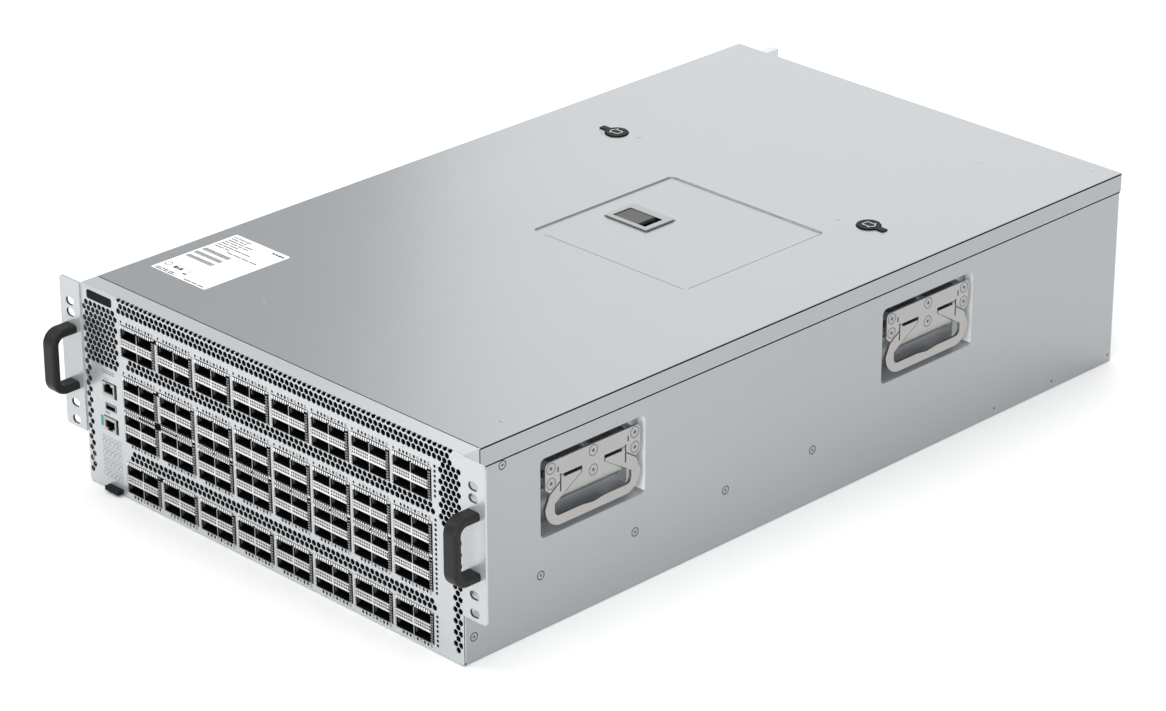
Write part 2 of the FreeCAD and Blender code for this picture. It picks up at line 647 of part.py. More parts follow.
def make_latch():
    """A framed well in the pressed panel with a paddle hinged at its left end."""
    floor = S.body_height - S.plate
    top = floor + S.latch_rise
    half = S.latch_width / 2
    run = (S.latch_front, S.latch_front + S.latch_length)
    inner = half - S.latch_rim - S.cut_gap / 2
    rim_gap = S.latch_rim + S.cut_gap / 2
    frame = between((-half, half), run, (floor, top))
    frame = rounded(frame, S.latch_rim, lambda edge: runs_along(edge, "z"))
    cup = between((-inner, inner), (run[0] + rim_gap, run[1] - rim_gap),
                  (floor - S.latch_cup_depth, floor))
    well_right = S.paddle_well_left + S.paddle_well_width
    well = between((S.paddle_well_left, well_right),
                   (S.paddle_well_front, S.paddle_well_front + S.paddle_well_length),
                   (floor - S.latch_cup_depth + S.latch_cup_wall, top + 1.0))
    axis_x = S.paddle_well_left + S.paddle_gap + S.paddle_thickness / 2
    axis_z = top - S.paddle_gap - S.paddle_thickness / 2
    reach = S.latch_rim
    pin_run = (S.paddle_well_front - reach, S.paddle_well_length + 2 * reach)
    socket = rod("Y", (axis_x, pin_run[0] - S.hinge_fit, axis_z), S.paddle_pin + S.hinge_fit,
                 pin_run[1] + 2 * S.hinge_fit)
    keep(cut(fuse([frame, cup]), [well, socket]), "latch_frame")
    width = S.paddle_well_length - 2 * S.paddle_gap
    start = S.paddle_well_front + S.paddle_gap
    flap = between((axis_x, axis_x + S.paddle_length), (start, start + width),
                   (axis_z - S.paddle_thickness / 2, axis_z + S.paddle_thickness / 2))
    barrel = rod("Y", (axis_x, start, axis_z), S.paddle_thickness / 2, width)
    pin = rod("Y", (axis_x, pin_run[0], axis_z), S.paddle_pin, pin_run[1])
    keep(fuse([flap, barrel, pin]), "cover_latch")


def make_cover_lock(side, sign):
    """A quarter-turn lock: a round head with a tail, a stem and a cam under the cover."""
    body = new_body(f"cover_lock_{side}")
    head = new_sketch(body, "XY_Plane", S.body_height)
    circle(head, sign * S.lock_x, S.lock_y, S.lock_radius)
    pad(body, head, S.lock_rise)
    tail = new_sketch(body, "XY_Plane", S.body_height)
    half = S.lock_tail_width / 2
    outer = sign * (S.lock_x + S.lock_tail_reach)
    centre = sign * S.lock_x
    outline(tail, [(centre, S.lock_y - half), (outer, S.lock_y - half),
                   (outer, S.lock_y + half), (centre, S.lock_y + half)])
    pad(body, tail, S.lock_rise)
    stem = new_sketch(body, "XY_Plane", S.body_height)
    circle(stem, centre, S.lock_y, S.lock_stem)
    pad(body, stem, S.lock_cam_drop + S.lock_cam_thickness, reverse=True)
    cam = new_sketch(body, "XY_Plane", S.body_height - S.lock_cam_drop)
    end = sign * (S.lock_x + S.lock_cam_length)
    outline(cam, [(centre, S.lock_y - half), (end, S.lock_y - half), (end, S.lock_y + half),
                  (centre, S.lock_y + half)])
    pad(body, cam, S.lock_cam_thickness, reverse=True)


# ---- rack ears ---------------------------------------------------------------------

ear_face = front - S.ear_proud
ear_back = ear_face + S.ear_plate


def slot_tools(sign, z):
    """A slotted hole along X through the ear."""
    middle = sign * S.slot_pattern / 2
    straight = (S.slot_length - S.slot_width) / 2
    run = (ear_face - 1.0, ear_back + 1.0)
    tools = [between((middle - straight, middle + straight), run,
                     (z - S.slot_width / 2, z + S.slot_width / 2))]
    for turn in (-1, 1):
        tools.append(rod("Y", (middle + turn * straight, run[0], z), S.slot_width / 2,
                         run[1] - run[0]))
    return tools


def make_ear(side, sign):
    """Angle bracket: slotted face in front of the panel and a leg along the side wall."""
    face = between(side_range(sign, S.ear_inner, S.ear_outer), (ear_face, ear_back),
                   (S.ear_foot, S.ear_head))
    outer_edge = sign * S.ear_outer.value
    face = rounded(face, S.ear_corner, lambda edge: runs_along(edge, "y")
                   and abs(edge.CenterOfMass.x - outer_edge) < 1e-6)
    leg_inner = wall_outer + S.ear_leg_gap
    leg = between(side_range(sign, leg_inner, leg_inner + S.ear_leg_plate),
                  (ear_back, ear_back + S.ear_leg_depth), (S.ear_foot, S.ear_leg_top))
    corner = between(side_range(sign, S.ear_inner, leg_inner + S.ear_leg_plate),
                     (ear_face, ear_back + S.ear_plate), (S.ear_foot, S.ear_leg_top))
    panel_room = between(side_range(sign, wall_outer, S.ear_inner), (ear_back, panel_back + 0.2),
                         (0.0, S.body_height))
    cuts = [panel_room]
    for z in (S.slot_one_z, S.slot_two_z, S.slot_three_z, S.slot_four_z):
        cuts += slot_tools(sign, z)
    for y, z in ear_screw_places():
        cuts.append(shank_rod(sign, y, z, leg_inner - 1.0, leg_inner + S.ear_leg_plate + 1.0,
                              S.screw_shank + S.screw_fit))
    for z in grip_screw_heights():
        cuts.append(rod("Y", (sign * S.slot_pattern / 2, ear_face, z),
                        S.screw_shank + S.screw_fit, S.ear_plate))
    keep(cut(fuse([face, leg, corner]), cuts), f"ear_{side}")


def grip_screw_heights():
    return [S.grip_foot + S.grip_bar / 2, S.grip_head - S.grip_bar / 2]


def make_ear_handle(side, sign):
    """A bent flat bar that stands out from the ear."""
    body = new_body(f"ear_handle_{side}")
    middle = sign * S.slot_pattern / 2
    sketch = new_sketch(body, "YZ_Plane", middle)
    tip = ear_face - S.grip_reach
    outline(sketch, [
        (ear_face, S.grip_foot), (tip, S.grip_foot), (tip, S.grip_head), (ear_face, S.grip_head),
        (ear_face, S.grip_head - S.grip_bar), (tip + S.grip_bar, S.grip_head - S.grip_bar),
        (tip + S.grip_bar, S.grip_foot + S.grip_bar), (ear_face, S.grip_foot + S.grip_bar)])
    pad(body, sketch, S.grip_width, midplane=True)
    outer_y = tip.value
    inner_y = (tip + S.grip_bar).value
    body_round(body, S.grip_outer_round, lambda edge: runs_along(edge, "x")
               and abs(edge.CenterOfMass.y - outer_y) < 1e-6)
    body_round(body, S.grip_inner_round, lambda edge: runs_along(edge, "x")
               and abs(edge.CenterOfMass.y - inner_y) < 1e-6)
    root = ear_face.value
    faces = (middle.value - S.grip_width.value / 2, middle.value + S.grip_width.value / 2)
    body_round(body, S.grip_edge, lambda edge: edge.BoundBox.XLength < 1e-6
               and min(abs(edge.CenterOfMass.x - face) for face in faces) < 1e-6
               and abs(edge.CenterOfMass.y - root) > 1e-3)


def make_ear_screws():
    """Screws that hold the ears to the walls and the bar handles to the ears."""
    screws = []
    leg_outer = wall_outer + S.ear_leg_gap + S.ear_leg_plate
    for sign in SIDES.values():
        for y, z in ear_screw_places():
            shank = shank_rod(sign, y, z, wall_inner, leg_outer, S.screw_shank)
            head = shank_rod(sign, y, z, leg_outer, leg_outer + S.plate, S.screw_head - 0.5)
            screws.append(fuse([shank, head]))
        for z in grip_screw_heights():
            x = sign * S.slot_pattern / 2
            shank = rod("Y", (x, ear_face, z), S.screw_shank, S.ear_plate)
            head = rod("Y", (x, ear_back, z), S.screw_head - 0.5, S.plate)
            screws.append(fuse([shank, head]))
    group(screws, "ear_screws")


# ---- lifting handles ---------------------------------------------------------------

def plate_outline(points, x_low, thickness):
    """A flat plate from (along, height) corners, standing across X."""
    corners = [Vector(x_low, along, height) for along, height in points]
    return Part.Face(Part.makePolygon(corners + corners[:1])).extrude(Vector(thickness, 0, 0))


def hinge_axis_x():
    return (wall_outer - S.hinge_inset).value


def make_lift_plate():
    """The fixed plate: hinge lugs, screw bosses and a tongue that curves into the recess."""
    outer = wall_outer.value
    thick = S.hold_plate.value
    half = S.hold_length.value / 2
    slit_out = S.slit_y.value + S.slit_width.value / 2
    slit_in = S.slit_y.value - S.slit_width.value / 2
    gap = S.arm_gap.value
    inner = S.arm_inner.value - gap
    top = S.hold_top.value
    out_y, out_z = S.diagonal_out_y.value, S.diagonal_out_z.value
    in_y, in_z = S.diagonal_in_y.value, S.diagonal_in_z.value
    rise_out = (S.slot_bottom.value - 3.4 - out_z) / (out_y - slit_out)
    rise_in = (S.arm_shoulder_z.value - in_z) / (in_y - S.arm_inner.value)
    start = S.tongue_start.value
    start_y = S.arm_inner.value + (S.arm_shoulder_z.value - start) / rise_in - gap
    foot_z = out_z + 2 * gap
    half_side = [
        (inner, S.slot_top.value), (slit_in, S.slot_top.value),
        (slit_in, S.slot_top.value + 1.0), (slit_out, S.slot_top.value + 1.0),
        (slit_out, out_z + gap * 1.4 + rise_out * (out_y - slit_out)),
        (out_y, foot_z), (half, foot_z + 4.0), (half, top)]
    right = [(start_y, start), (inner, S.arm_shoulder_z.value)] + half_side
    left = [(-along, height) for along, height in reversed(right)]
    flat = plate_outline(right + left, outer - thick, thick)
    corners = [edge for edge in flat.Edges if edge.Curve.TypeId == "Part::GeomLine"
               and runs_along(edge, "x") and edge.CenterOfMass.z > top - 1e-3]
    flat = flat.makeFillet(S.hold_corner.value, corners)
    radius = S.tongue_round.value
    angle = S.tongue_angle.value
    centre = Vector(outer - radius, 0, start)
    bend = Part.makeCylinder(radius, 2 * in_y, centre - Vector(0, in_y, 0), Vector(0, 1, 0), 360)
    bore = Part.makeCylinder(radius - thick, 2 * in_y, centre - Vector(0, in_y, 0),
                             Vector(0, 1, 0), 360)
    low_z = start - radius * math.sin(math.radians(angle))
    low_x = outer - radius * (1 - math.cos(math.radians(angle)))
    sector = [(start_y, start), (in_y - gap, in_z - gap), (in_y - gap, low_z),
              (-in_y + gap, low_z), (-in_y + gap, in_z - gap), (-start_y, start)]
    depth = outer - low_x + thick
    keep_zone = plate_outline(sector, outer - depth, depth)
    tongue = bend.cut(bore).common(keep_zone)
    pieces = [tongue]
    axis_x = hinge_axis_x()
    for turn in (-1, 1):
        low = min(turn * slit_out, turn * (slit_out + S.lug_thickness.value))
        pieces.append(block_shape((outer - S.lug_depth.value, outer - thick),
                                  (low, low + S.lug_thickness.value),
                                  (S.hinge_z.value - 2.4, S.hinge_z.value + 2.4)))
    bosses = [(y.value, z.value) for y, z in lift_screw_places(as_size(0.0))]
    ledge_x = (wall_outer - S.ledge_depth).value
    for y, z in bosses:
        pieces.append(Part.makeCylinder(S.boss_radius.value, outer - thick - ledge_x,
                                        Vector(ledge_x, y, z), Vector(1, 0, 0)))
    shape = flat.multiFuse(pieces)
    holes = [Part.makeCylinder(S.hinge_pin.value, 2 * half, Vector(axis_x, -half,
                                                                    S.hinge_z.value),
                               Vector(0, 1, 0))]
    keep_middle = block_shape((axis_x - 3, axis_x + 3), (-slit_out, slit_out),
                              (S.hinge_z.value - 3, S.hinge_z.value + 3))
    outside = [block_shape((axis_x - 3, axis_x + 3), (turn_low, turn_low + half),
                           (S.hinge_z.value - 3, S.hinge_z.value + 3))
               for turn_low in (slit_out + S.lug_thickness.value,
                                -slit_out - S.lug_thickness.value - half)]
    holes = [holes[0].cut(outside[0]).cut(outside[1]).cut(keep_middle)]
    sink = S.lift_screw_countersink.value
    for y, z in bosses:
        holes.append(Part.makeCylinder(S.lift_screw_shank.value, S.ledge_depth.value,
                                       Vector(ledge_x, y, z), Vector(1, 0, 0)))
        holes.append(Part.makeCone(S.lift_screw_shank.value, S.lift_screw_head.value, sink,
                                   Vector(outer - sink, y, z), Vector(1, 0, 0)))
    return shape.cut(holes).removeSplitter()


def make_lift_handle(body):
    """A pressed ring with two arms that carry hinge knuckles at their outer ends."""
    sketch = new_sketch(body, "YZ_Plane", wall_outer)
    half = S.hold_length / 2
    slit_out = S.slit_y + S.slit_width / 2
    slit_in = S.slit_y - S.slit_width / 2
    right = [(slit_out, S.slit_bottom), (slit_out, S.slot_bottom - 3.4),
             (S.diagonal_out_y, S.diagonal_out_z), (half, S.ring_bottom + S.ring_round),
             (half, S.ring_bottom)]
    upper = [(S.arm_inner, S.arm_shoulder_z), (S.arm_inner, S.slot_bottom),
             (slit_in, S.slot_bottom), (slit_in, S.slit_bottom)]
    inner_half = S.ring_opening / 2
    bay = [(inner_half, S.ring_bar_top), (inner_half, S.diagonal_in_z - 5.0),
           (S.diagonal_in_y, S.diagonal_in_z)]
    points = bay + upper + right
    mirrored = [(-along, height) for along, height in reversed(points)]
    wave = [(-S.grip_wave_half, S.ring_bar_top), (as_size(0.0), S.ring_bar_top - S.grip_wave),
            (S.grip_wave_half, S.ring_bar_top)]
    outline(sketch, wave + points + mirrored)
    pad(body, sketch, S.ring_plate, reverse=True)
    bottom = S.ring_bottom.value
    side = half.value
    body_round(body, S.ring_round - 0.5, lambda edge: runs_along(edge, "x")
               and abs(edge.CenterOfMass.z - bottom) < 1e-6
               and abs(abs(edge.CenterOfMass.y) - side) < 1e-6)
    bar_top = S.ring_bar_top.value
    inner_y = inner_half.value
    body_round(body, S.ring_inner_round, lambda edge: runs_along(edge, "x")
               and abs(abs(edge.CenterOfMass.y) - inner_y) < 1e-6
               and abs(edge.CenterOfMass.z - bar_top) < 1e-6)
    axis_x = wall_outer - S.hinge_inset
    for turn in (-1, 1):
        end = turn * slit_in if turn > 0 else -slit_in + S.knuckle_length
        knuckle = new_sketch(body, "XZ_Plane", -end)
        circle(knuckle, axis_x, S.hinge_z, S.knuckle_radius)
        circle(knuckle, axis_x, S.hinge_z, S.hinge_pin + S.hinge_fit)
        pad(body, knuckle, S.knuckle_length)
        relief = new_sketch(body, "XZ_Plane", -end)
        circle(relief, axis_x, S.hinge_z, S.hinge_pin + S.hinge_fit)
        pad(body, relief, S.knuckle_length, kind="PartDesign::Pocket", reverse=True)


def make_lifting_handles():
    """Fixed plates and swinging rings in the four recesses, alike but for their places."""
    plate_shape = make_lift_plate()
    ring = doc.addObject("PartDesign::Body", "Body")
    make_lift_handle(ring)
    doc.recompute()
    for side, sign in SIDES.items():
        for place, middle in recess_places.items():
            turn = Rotation(Vector(0, 0, 1), 0 if sign > 0 else 180)
            place_at = Placement(Vector(0, middle.value, 0), turn)
            plate = keep_shape(plate_shape.copy(), f"lift_plate_{side}_{place}")
            plate.Placement = place_at
            copy_of(ring, f"lift_handle_{side}_{place}", place_at)


def make_lift_fixings():
    """Hinge pins and flat-headed screws of the lifting handles."""
    pins = []
    screws = []
    slit_in = S.slit_y - S.slit_width / 2
    length = S.slit_width + S.lug_thickness + S.knuckle_length
    for sign in SIDES.values():
        for middle in recess_places.values():
            for turn in (-1, 1):
                low = (slit_in - S.knuckle_length if turn > 0
                       else -slit_in + S.knuckle_length - length)
                pins.append(rod("Y", (sign * (wall_outer - S.hinge_inset), middle + low,
                                      S.hinge_z), S.hinge_pin, length))
            for y, z in lift_screw_places(middle):
                head = flat_head(sign, y, z, wall_outer, S.lift_screw_countersink,
                                 S.lift_screw_head, S.lift_screw_shank)
                shank = shank_rod(sign, y, z, wall_outer - S.recess_depth / 2,
                                  wall_outer - S.lift_screw_countersink, S.lift_screw_shank)
                screws.append(fuse([head, shank]))
    group(pins, "hinge_pins")
    group(screws, "lift_screws")


# ---- port cages --------------------------------------------------------------------

def make_cage_row(name, opening_z, board_above, crown):
    """Eight cages side by side, each with two ports over two, closed at the back."""
    foot = S.foot_wall if board_above else S.seat_wall
    roof = S.seat_wall if board_above else crown
    left = -S.cage_side
    right = cage_opening_width + S.cage_finger_side
    low = opening_z - foot
    high = opening_z + cage_opening_height + roof
    run = (panel_back + S.cut_gap / 2, panel_back + S.cage_depth)
    snout_low = opening_z - S.foot_wall if name == "one" else low
    snout_run = (front - S.cage_snout, run[0])
    cages = []
    for column in range(number(S.cage_count)):
        x = S.cage_first_x + column * S.cage_pitch
        block = between((x + left, x + right), run, (low, high))
        snout = between((x + left, x + right), snout_run, (snout_low, high))
        ports = []
        for port in range(2):
            port_left = x + port * (S.port_width + S.port_divider)
            for level in range(2):
                port_low = opening_z + level * (S.port_height + S.port_band)
                ports.append(between((port_left, port_left + S.port_width),
                                     (snout_run[0] - 1.0, front + S.port_depth),
                                     (port_low, port_low + S.port_height)))
        cages.append(cut(fuse([block, snout]), ports))
    group(cages, f"port_cages_{name}")


# ---- management ports and tag ------------------------------------------------------

def make_management_ports():
    """Two shielded network jacks, key up and key down, and a serial port."""
    jacks = []
    for z, turn in ((S.jack_upper_z, 1), (S.jack_lower_z, -1)):
        body = between((S.jack_x - S.jack_width / 2, S.jack_x + S.jack_width / 2),
                       (front - S.jack_snout, front + S.jack_depth),
                       (z - S.jack_height / 2, z + S.jack_height / 2))
        run = (front - S.jack_snout - 1.0, front + S.jack_mouth_depth)
        mouth_low = z - S.jack_mouth_height / 2
        mouth = between((S.jack_x - S.jack_mouth_width / 2, S.jack_x + S.jack_mouth_width / 2),
                        run, (mouth_low, mouth_low + S.jack_mouth_height))
        edge = z + turn * S.jack_mouth_height / 2
        ends = (edge, edge + S.jack_key_height) if turn > 0 else (edge - S.jack_key_height, edge)
        key = between((S.jack_x - S.jack_key_width / 2, S.jack_x + S.jack_key_width / 2), run,
                      ends)
        jacks.append(cut(body, [mouth, key]))
    group(jacks, "network_jacks")
    half = S.usb_width / 2
    tall = S.usb_height / 2
    skin = S.usb_shell
    run = (front - S.usb_snout, front + S.usb_depth)
    shell = between((S.usb_x - half, S.usb_x + half), run, (S.usb_z - tall, S.usb_z + tall))
    hollow = between((S.usb_x - half + skin, S.usb_x + half - skin), (run[0] - 1.0,
                                                                      run[1] - 3 * skin),
                     (S.usb_z - tall + skin, S.usb_z + tall - skin))
    tongue = between((S.usb_x - half + 2 * skin, S.usb_x + half - 2 * skin),
                     (front + skin, run[1] - 3 * skin),
                     (S.usb_z + tall - skin - S.usb_tongue, S.usb_z + tall - 2 * skin))
    keep(fuse([cut(shell, [hollow]), tongue]), "serial_port")


def make_port_bracket():
    """A sheet bracket behind the panel that carries the jacks and the serial port."""
    left = S.jack_x - S.bracket_width / 2
    right = S.jack_x + S.bracket_width / 2
    run = (front + S.usb_depth, front + S.bracket_depth)
    low = S.jack_lower_z - S.jack_height
    high = S.jack_upper_z + S.jack_height
    back_plate = between((left, right), (run[1] - S.plate, run[1]), (low, high))
    parts = [back_plate]
    for z in (S.jack_upper_z, S.jack_lower_z):
        parts.append(between((left, right), (panel_back + S.cut_gap, run[1]),
                             (z - S.jack_height / 2 - S.plate, z - S.jack_height / 2)))
    parts.append(between((left, right), (panel_back + S.cut_gap, run[1]),
                         (S.usb_z - S.usb_height / 2 - S.plate, S.usb_z - S.usb_height / 2)))
    parts.append(between((left - S.plate, left), (panel_back, run[1]), (low, high)))
    keep(fuse(parts), "port_bracket")


def make_tag():
    """A pull-out card with a grip, in a slot above the chassis floor."""
    grip = between((S.tag_x - S.tag_width / 2, S.tag_x + S.tag_width / 2),
                   (front - S.tag_reach, front), (S.tag_bottom, S.tag_bottom + S.tag_height))
    card = between((S.tag_x - S.tag_card_width / 2, S.tag_x + S.tag_card_width / 2),
                   (front, front + S.tag_card_length),
                   (S.tag_bottom, S.tag_bottom + S.tag_card_thickness))
    keep(fuse([grip, card]), "info_tag")


# ---- boards and what they carry ----------------------------------------------------

board_front = panel_back + S.board_front_gap
board_half = S.board_width / 2


def make_boards():
    """The main board with its soldered switch chip, and the two outer port boards."""
    depth = (board_front, board_front + S.main_board_length)
    half = S.chip_width / 2
    board = between((-board_half, board_half), depth, (main_board_z, main_board_top))
    chip = between((-half, half), (S.chip_y - half, S.chip_y + half),
                   (main_board_top, main_board_top + S.chip_height))
    keep(fuse([board, chip]), "main_board")
    depth = (board_front, board_front + S.port_board_length)
    group([between((-board_half, board_half), depth, (z, z + S.board_thickness))
           for z in (upper_board_z, lower_board_z)], "port_boards")


def make_board_posts():
    """Spacers that stack the boards on each other and on the chassis floor."""
    posts = []
    levels = [(S.plate, lower_board_z), (lower_board_z + S.board_thickness, main_board_z),
              (main_board_top, upper_board_z)]
    for low, high in levels:
        for y in (S.post_front_y, S.post_back_y):
            for x in (-S.post_x, as_size(0.0), S.post_x):
                posts.append(rod("Z", (x, y, low), S.post_radius, high - low))
    for x in (-S.post_x, as_size(0.0), S.post_x):
        posts.append(rod("Z", (x, S.rear_post_y, S.plate), S.post_radius,
                         main_board_z - S.plate))
    group(posts, "board_posts")


def make_heat_sink(body):
    """A finned block on the switch chip."""
    base = new_sketch(body, "XY_Plane", main_board_top + S.chip_height)
    half = S.sink_width / 2
    low, high = S.chip_y - half, S.chip_y + half
    outline(base, [(-half, low), (half, low), (half, high), (-half, high)])
    pad(body, base, S.sink_base)
    fin = new_sketch(body, "XY_Plane", main_board_top + S.chip_height)
    outline(fin, [(-half, low), (-half + S.fin_thickness, low),
                  (-half + S.fin_thickness, high), (-half, high)])
    first = pad(body, fin, S.sink_height)
    fins = body.newObject("PartDesign::LinearPattern", "Fins")
    fins.Originals = [first]
    fins.Direction = (fin, ["H_Axis"])
    bind(fins, Length=S.sink_width - S.fin_thickness)
    fins.Occurrences = number(S.fin_count)
    body.Tip = fins


def make_electronics():
    """The chip's heat sink, the processor card and the power bars."""
    make_heat_sink(new_body("heat_sink"))
    card_z = main_board_top + S.cpu_lift
    card = between((S.cpu_x - S.cpu_width, S.cpu_x + 0.0),
                   (S.cpu_y, S.cpu_y + S.cpu_length - S.post_radius * 5),
                   (card_z, card_z + S.board_thickness))
    sink_x = S.cpu_x - S.cpu_width / 2 - S.cpu_sink_width / 2
    sink = between((sink_x, sink_x + S.cpu_sink_width),
                   (S.cpu_y + S.cpu_lift, S.cpu_y + S.cpu_lift + S.cpu_sink_width),
                   (card_z + S.board_thickness, card_z + S.board_thickness + S.cpu_sink_height))
    legs = []
    for x in (S.cpu_x - S.cpu_width + 2 * S.post_radius, S.cpu_x - 2 * S.post_radius):
        for y in (S.cpu_y + 2 * S.post_radius,
                  S.cpu_y + S.cpu_length - 7 * S.post_radius):
            legs.append(rod("Z", (x, y, main_board_top), S.post_radius, S.cpu_lift))
    keep(fuse([card, sink] + legs), "processor_card")
    bars = []
    for index in range(2):
        x = S.bus_bar_x + index * (S.bus_bar_width + S.bus_bar_gap)
        bars.append(between((x, x + S.bus_bar_width),
                            (board_front + S.main_board_length - S.bus_bar_lap, power_board_y),
                            (main_board_top, main_board_top + S.bus_bar_height)))
    group(bars, "bus_bars")


# ---- rear modules ------------------------------------------------------------------

psu_front = back - S.psu_length
power_board_y = psu_front - S.power_board_gap - S.board_thickness
trays_left = bay_right + S.shelf
bay_floor = S.plate + S.slide_gap


def psu_floor(index):
    return bay_floor + index * psu_pitch


def tray_left(index):
    clear = tray_pitch - S.shelf - S.tray_width
    return trays_left + index * tray_pitch + clear / 2


def make_rear_frame():
    """Back sheet with module bays, the shelves of the supplies and the tray dividers."""
    sheet_plate = between((-wall_outer, wall_outer), (back - S.plate, back), (0.0, tray_top))
    bays = []
    parts = []
    shelf_run = (back - S.shelf_depth, back)
    for index in range(4):
        low = S.plate + index * psu_pitch
        bays.append(between((S.bay_left, bay_right), (back - 2 * S.plate, back + 1.0),
                            (low, low + psu_pitch - S.shelf)))
        if index:
            parts.append(between((S.bay_left, bay_right), shelf_run, (low - S.shelf, low)))
    for index in range(number(S.tray_count)):
        left = trays_left + index * tray_pitch
        bays.append(between((left, left + tray_pitch - S.shelf), (back - 2 * S.plate, back + 1.0),
                            (S.plate, S.plate + 4 * psu_pitch - S.shelf)))
        run = shelf_run if index == 0 else (back - S.tray_depth, back)
        parts.append(between((left - S.shelf, left), run, (S.plate, tray_top)))
    keep(fuse([cut(sheet_plate, bays)] + parts), "rear_frame")


def make_power_boards():
    """The power board with its four sockets and the fan board on the chassis floor."""
    board = between((S.bay_left, bay_right), (power_board_y, power_board_y + S.board_thickness),
                    (S.plate, S.plate + 4 * psu_pitch - S.shelf))
    sockets = []
    for index in range(4):
        middle = psu_floor(index) + S.psu_height / 2
        sockets.append(between((S.bay_left + S.psu_width / 4, S.bay_left + S.psu_width * 0.75),
                               (power_board_y + S.board_thickness, psu_front - S.tag_gap),
                               (middle - S.sink_base, middle + S.sink_base)))
    keep(fuse([board] + sockets), "power_board")
    y = back - S.tray_depth - S.fan_board_gap - S.board_thickness
    keep(between((trays_left, wall_inner - S.fan_board_gap), (y, y + S.board_thickness),
                 (S.plate, S.fan_board_height)), "fan_board")


def make_supply():
    """A power supply: open-fronted case, inlet, vent and a loop handle."""
    left = S.bay_left + S.bay_gap
    right = left + S.psu_width
    low = psu_floor(0)
    high = low + S.psu_height
    skin = S.psu_skin
    case = between((left, right), (psu_front, back), (low, high))
    hollow = between((left + skin, right - skin), (psu_front - 1.0, back - skin),
                     (low + skin, high - skin))
    middle = (low + high) / 2
    inlet_left = left + S.inlet_x - S.inlet_width / 2
    inlet = between((inlet_left - skin, inlet_left + S.inlet_width + skin),
                    (back - S.inlet_depth - skin, back),
                    (middle - S.inlet_height / 2 - skin, middle + S.inlet_height / 2 + skin))
    recess = between((inlet_left, inlet_left + S.inlet_width),
                     (back - S.inlet_depth, back + 1.0),
                     (middle - S.inlet_height / 2, middle + S.inlet_height / 2))
    vent = rod("Y", (left + S.psu_vent_x, back - 2 * skin, middle), S.psu_vent_radius, 3 * skin)
    ribs = [between((left + S.psu_vent_x - S.psu_vent_radius - skin,
                     left + S.psu_vent_x + S.psu_vent_radius + skin), (back - skin, back),
                    (middle - skin, middle + skin)),
            between((left + S.psu_vent_x - skin, left + S.psu_vent_x + skin),
                    (back - skin, back),
                    (middle - S.psu_vent_radius - skin, middle + S.psu_vent_radius + skin))]
    grip = (left + S.psu_handle_x - S.psu_handle_width / 2,
            left + S.psu_handle_x + S.psu_handle_width / 2)
    half = S.psu_handle_height / 2
    bar = S.psu_handle_bar
    loop = [between(grip, (back, back + S.psu_handle_reach), (middle + half - bar,
                                                              middle + half)),
            between(grip, (back, back + S.psu_handle_reach), (middle - half,
                                                              middle - half + bar)),
            between(grip, (back + S.psu_handle_reach - bar, back + S.psu_handle_reach),
                    (middle - half, middle + half))]
    pivot_x = left + S.lever_x
    pivot_y = back + S.lever_width
    tall = S.lever_height / 2
    lugs = []
    for turn in (-1, 1):
        near = middle + turn * (tall + S.rotor_gap)
        far = near + turn * 2 * skin
        pair = (near, far) if turn > 0 else (far, near)
        lug = between((pivot_x - S.lever_width, pivot_x + S.lever_width),
                      (back, pivot_y + S.lever_width), pair)
        bore = rod("Z", (pivot_x, pivot_y, pair[0] - skin), S.lever_pin + S.hinge_fit, 4 * skin)
        lugs.append(cut(lug, [bore]))
    shell = cut(fuse([cut(case, [hollow]), inlet]), [recess, vent])
    return fuse([shell] + ribs + loop + lugs)


def make_lever():
    """The release lever of a supply, on a pin between two lugs."""
    left = S.bay_left + S.bay_gap
    middle = psu_floor(0) + S.psu_height / 2
    pivot_x = left + S.lever_x
    pivot_y = back + S.lever_width
    tall = S.lever_height / 2
    half = S.lever_width / 2
    arm = between((pivot_x - half, pivot_x + half), (pivot_y, pivot_y + S.lever_reach),
                  (middle - tall, middle + tall))
    barrel = rod("Z", (pivot_x, pivot_y, middle - tall), half, S.lever_height)
    reach = S.rotor_gap + 2 * S.psu_skin
    pin = rod("Z", (pivot_x, pivot_y, middle - tall - reach), S.lever_pin,
              S.lever_height + 2 * reach)
    return fuse([arm, barrel, pin])


def fan_centres():
    """X and the two heights of the fans in the first tray."""
    x = tray_left(0) + S.tray_width / 2
    middle = bay_floor + S.tray_height / 2
    return x, (middle - S.fan_pitch / 2, middle + S.fan_pitch / 2)


def ring_tube(x, y, z, radius, width, depth):
    return cut(rod("Y", (x, y, z), radius + width / 2, depth),
               [rod("Y", (x, y - 1.0, z), radius - width / 2, depth + 2.0)])


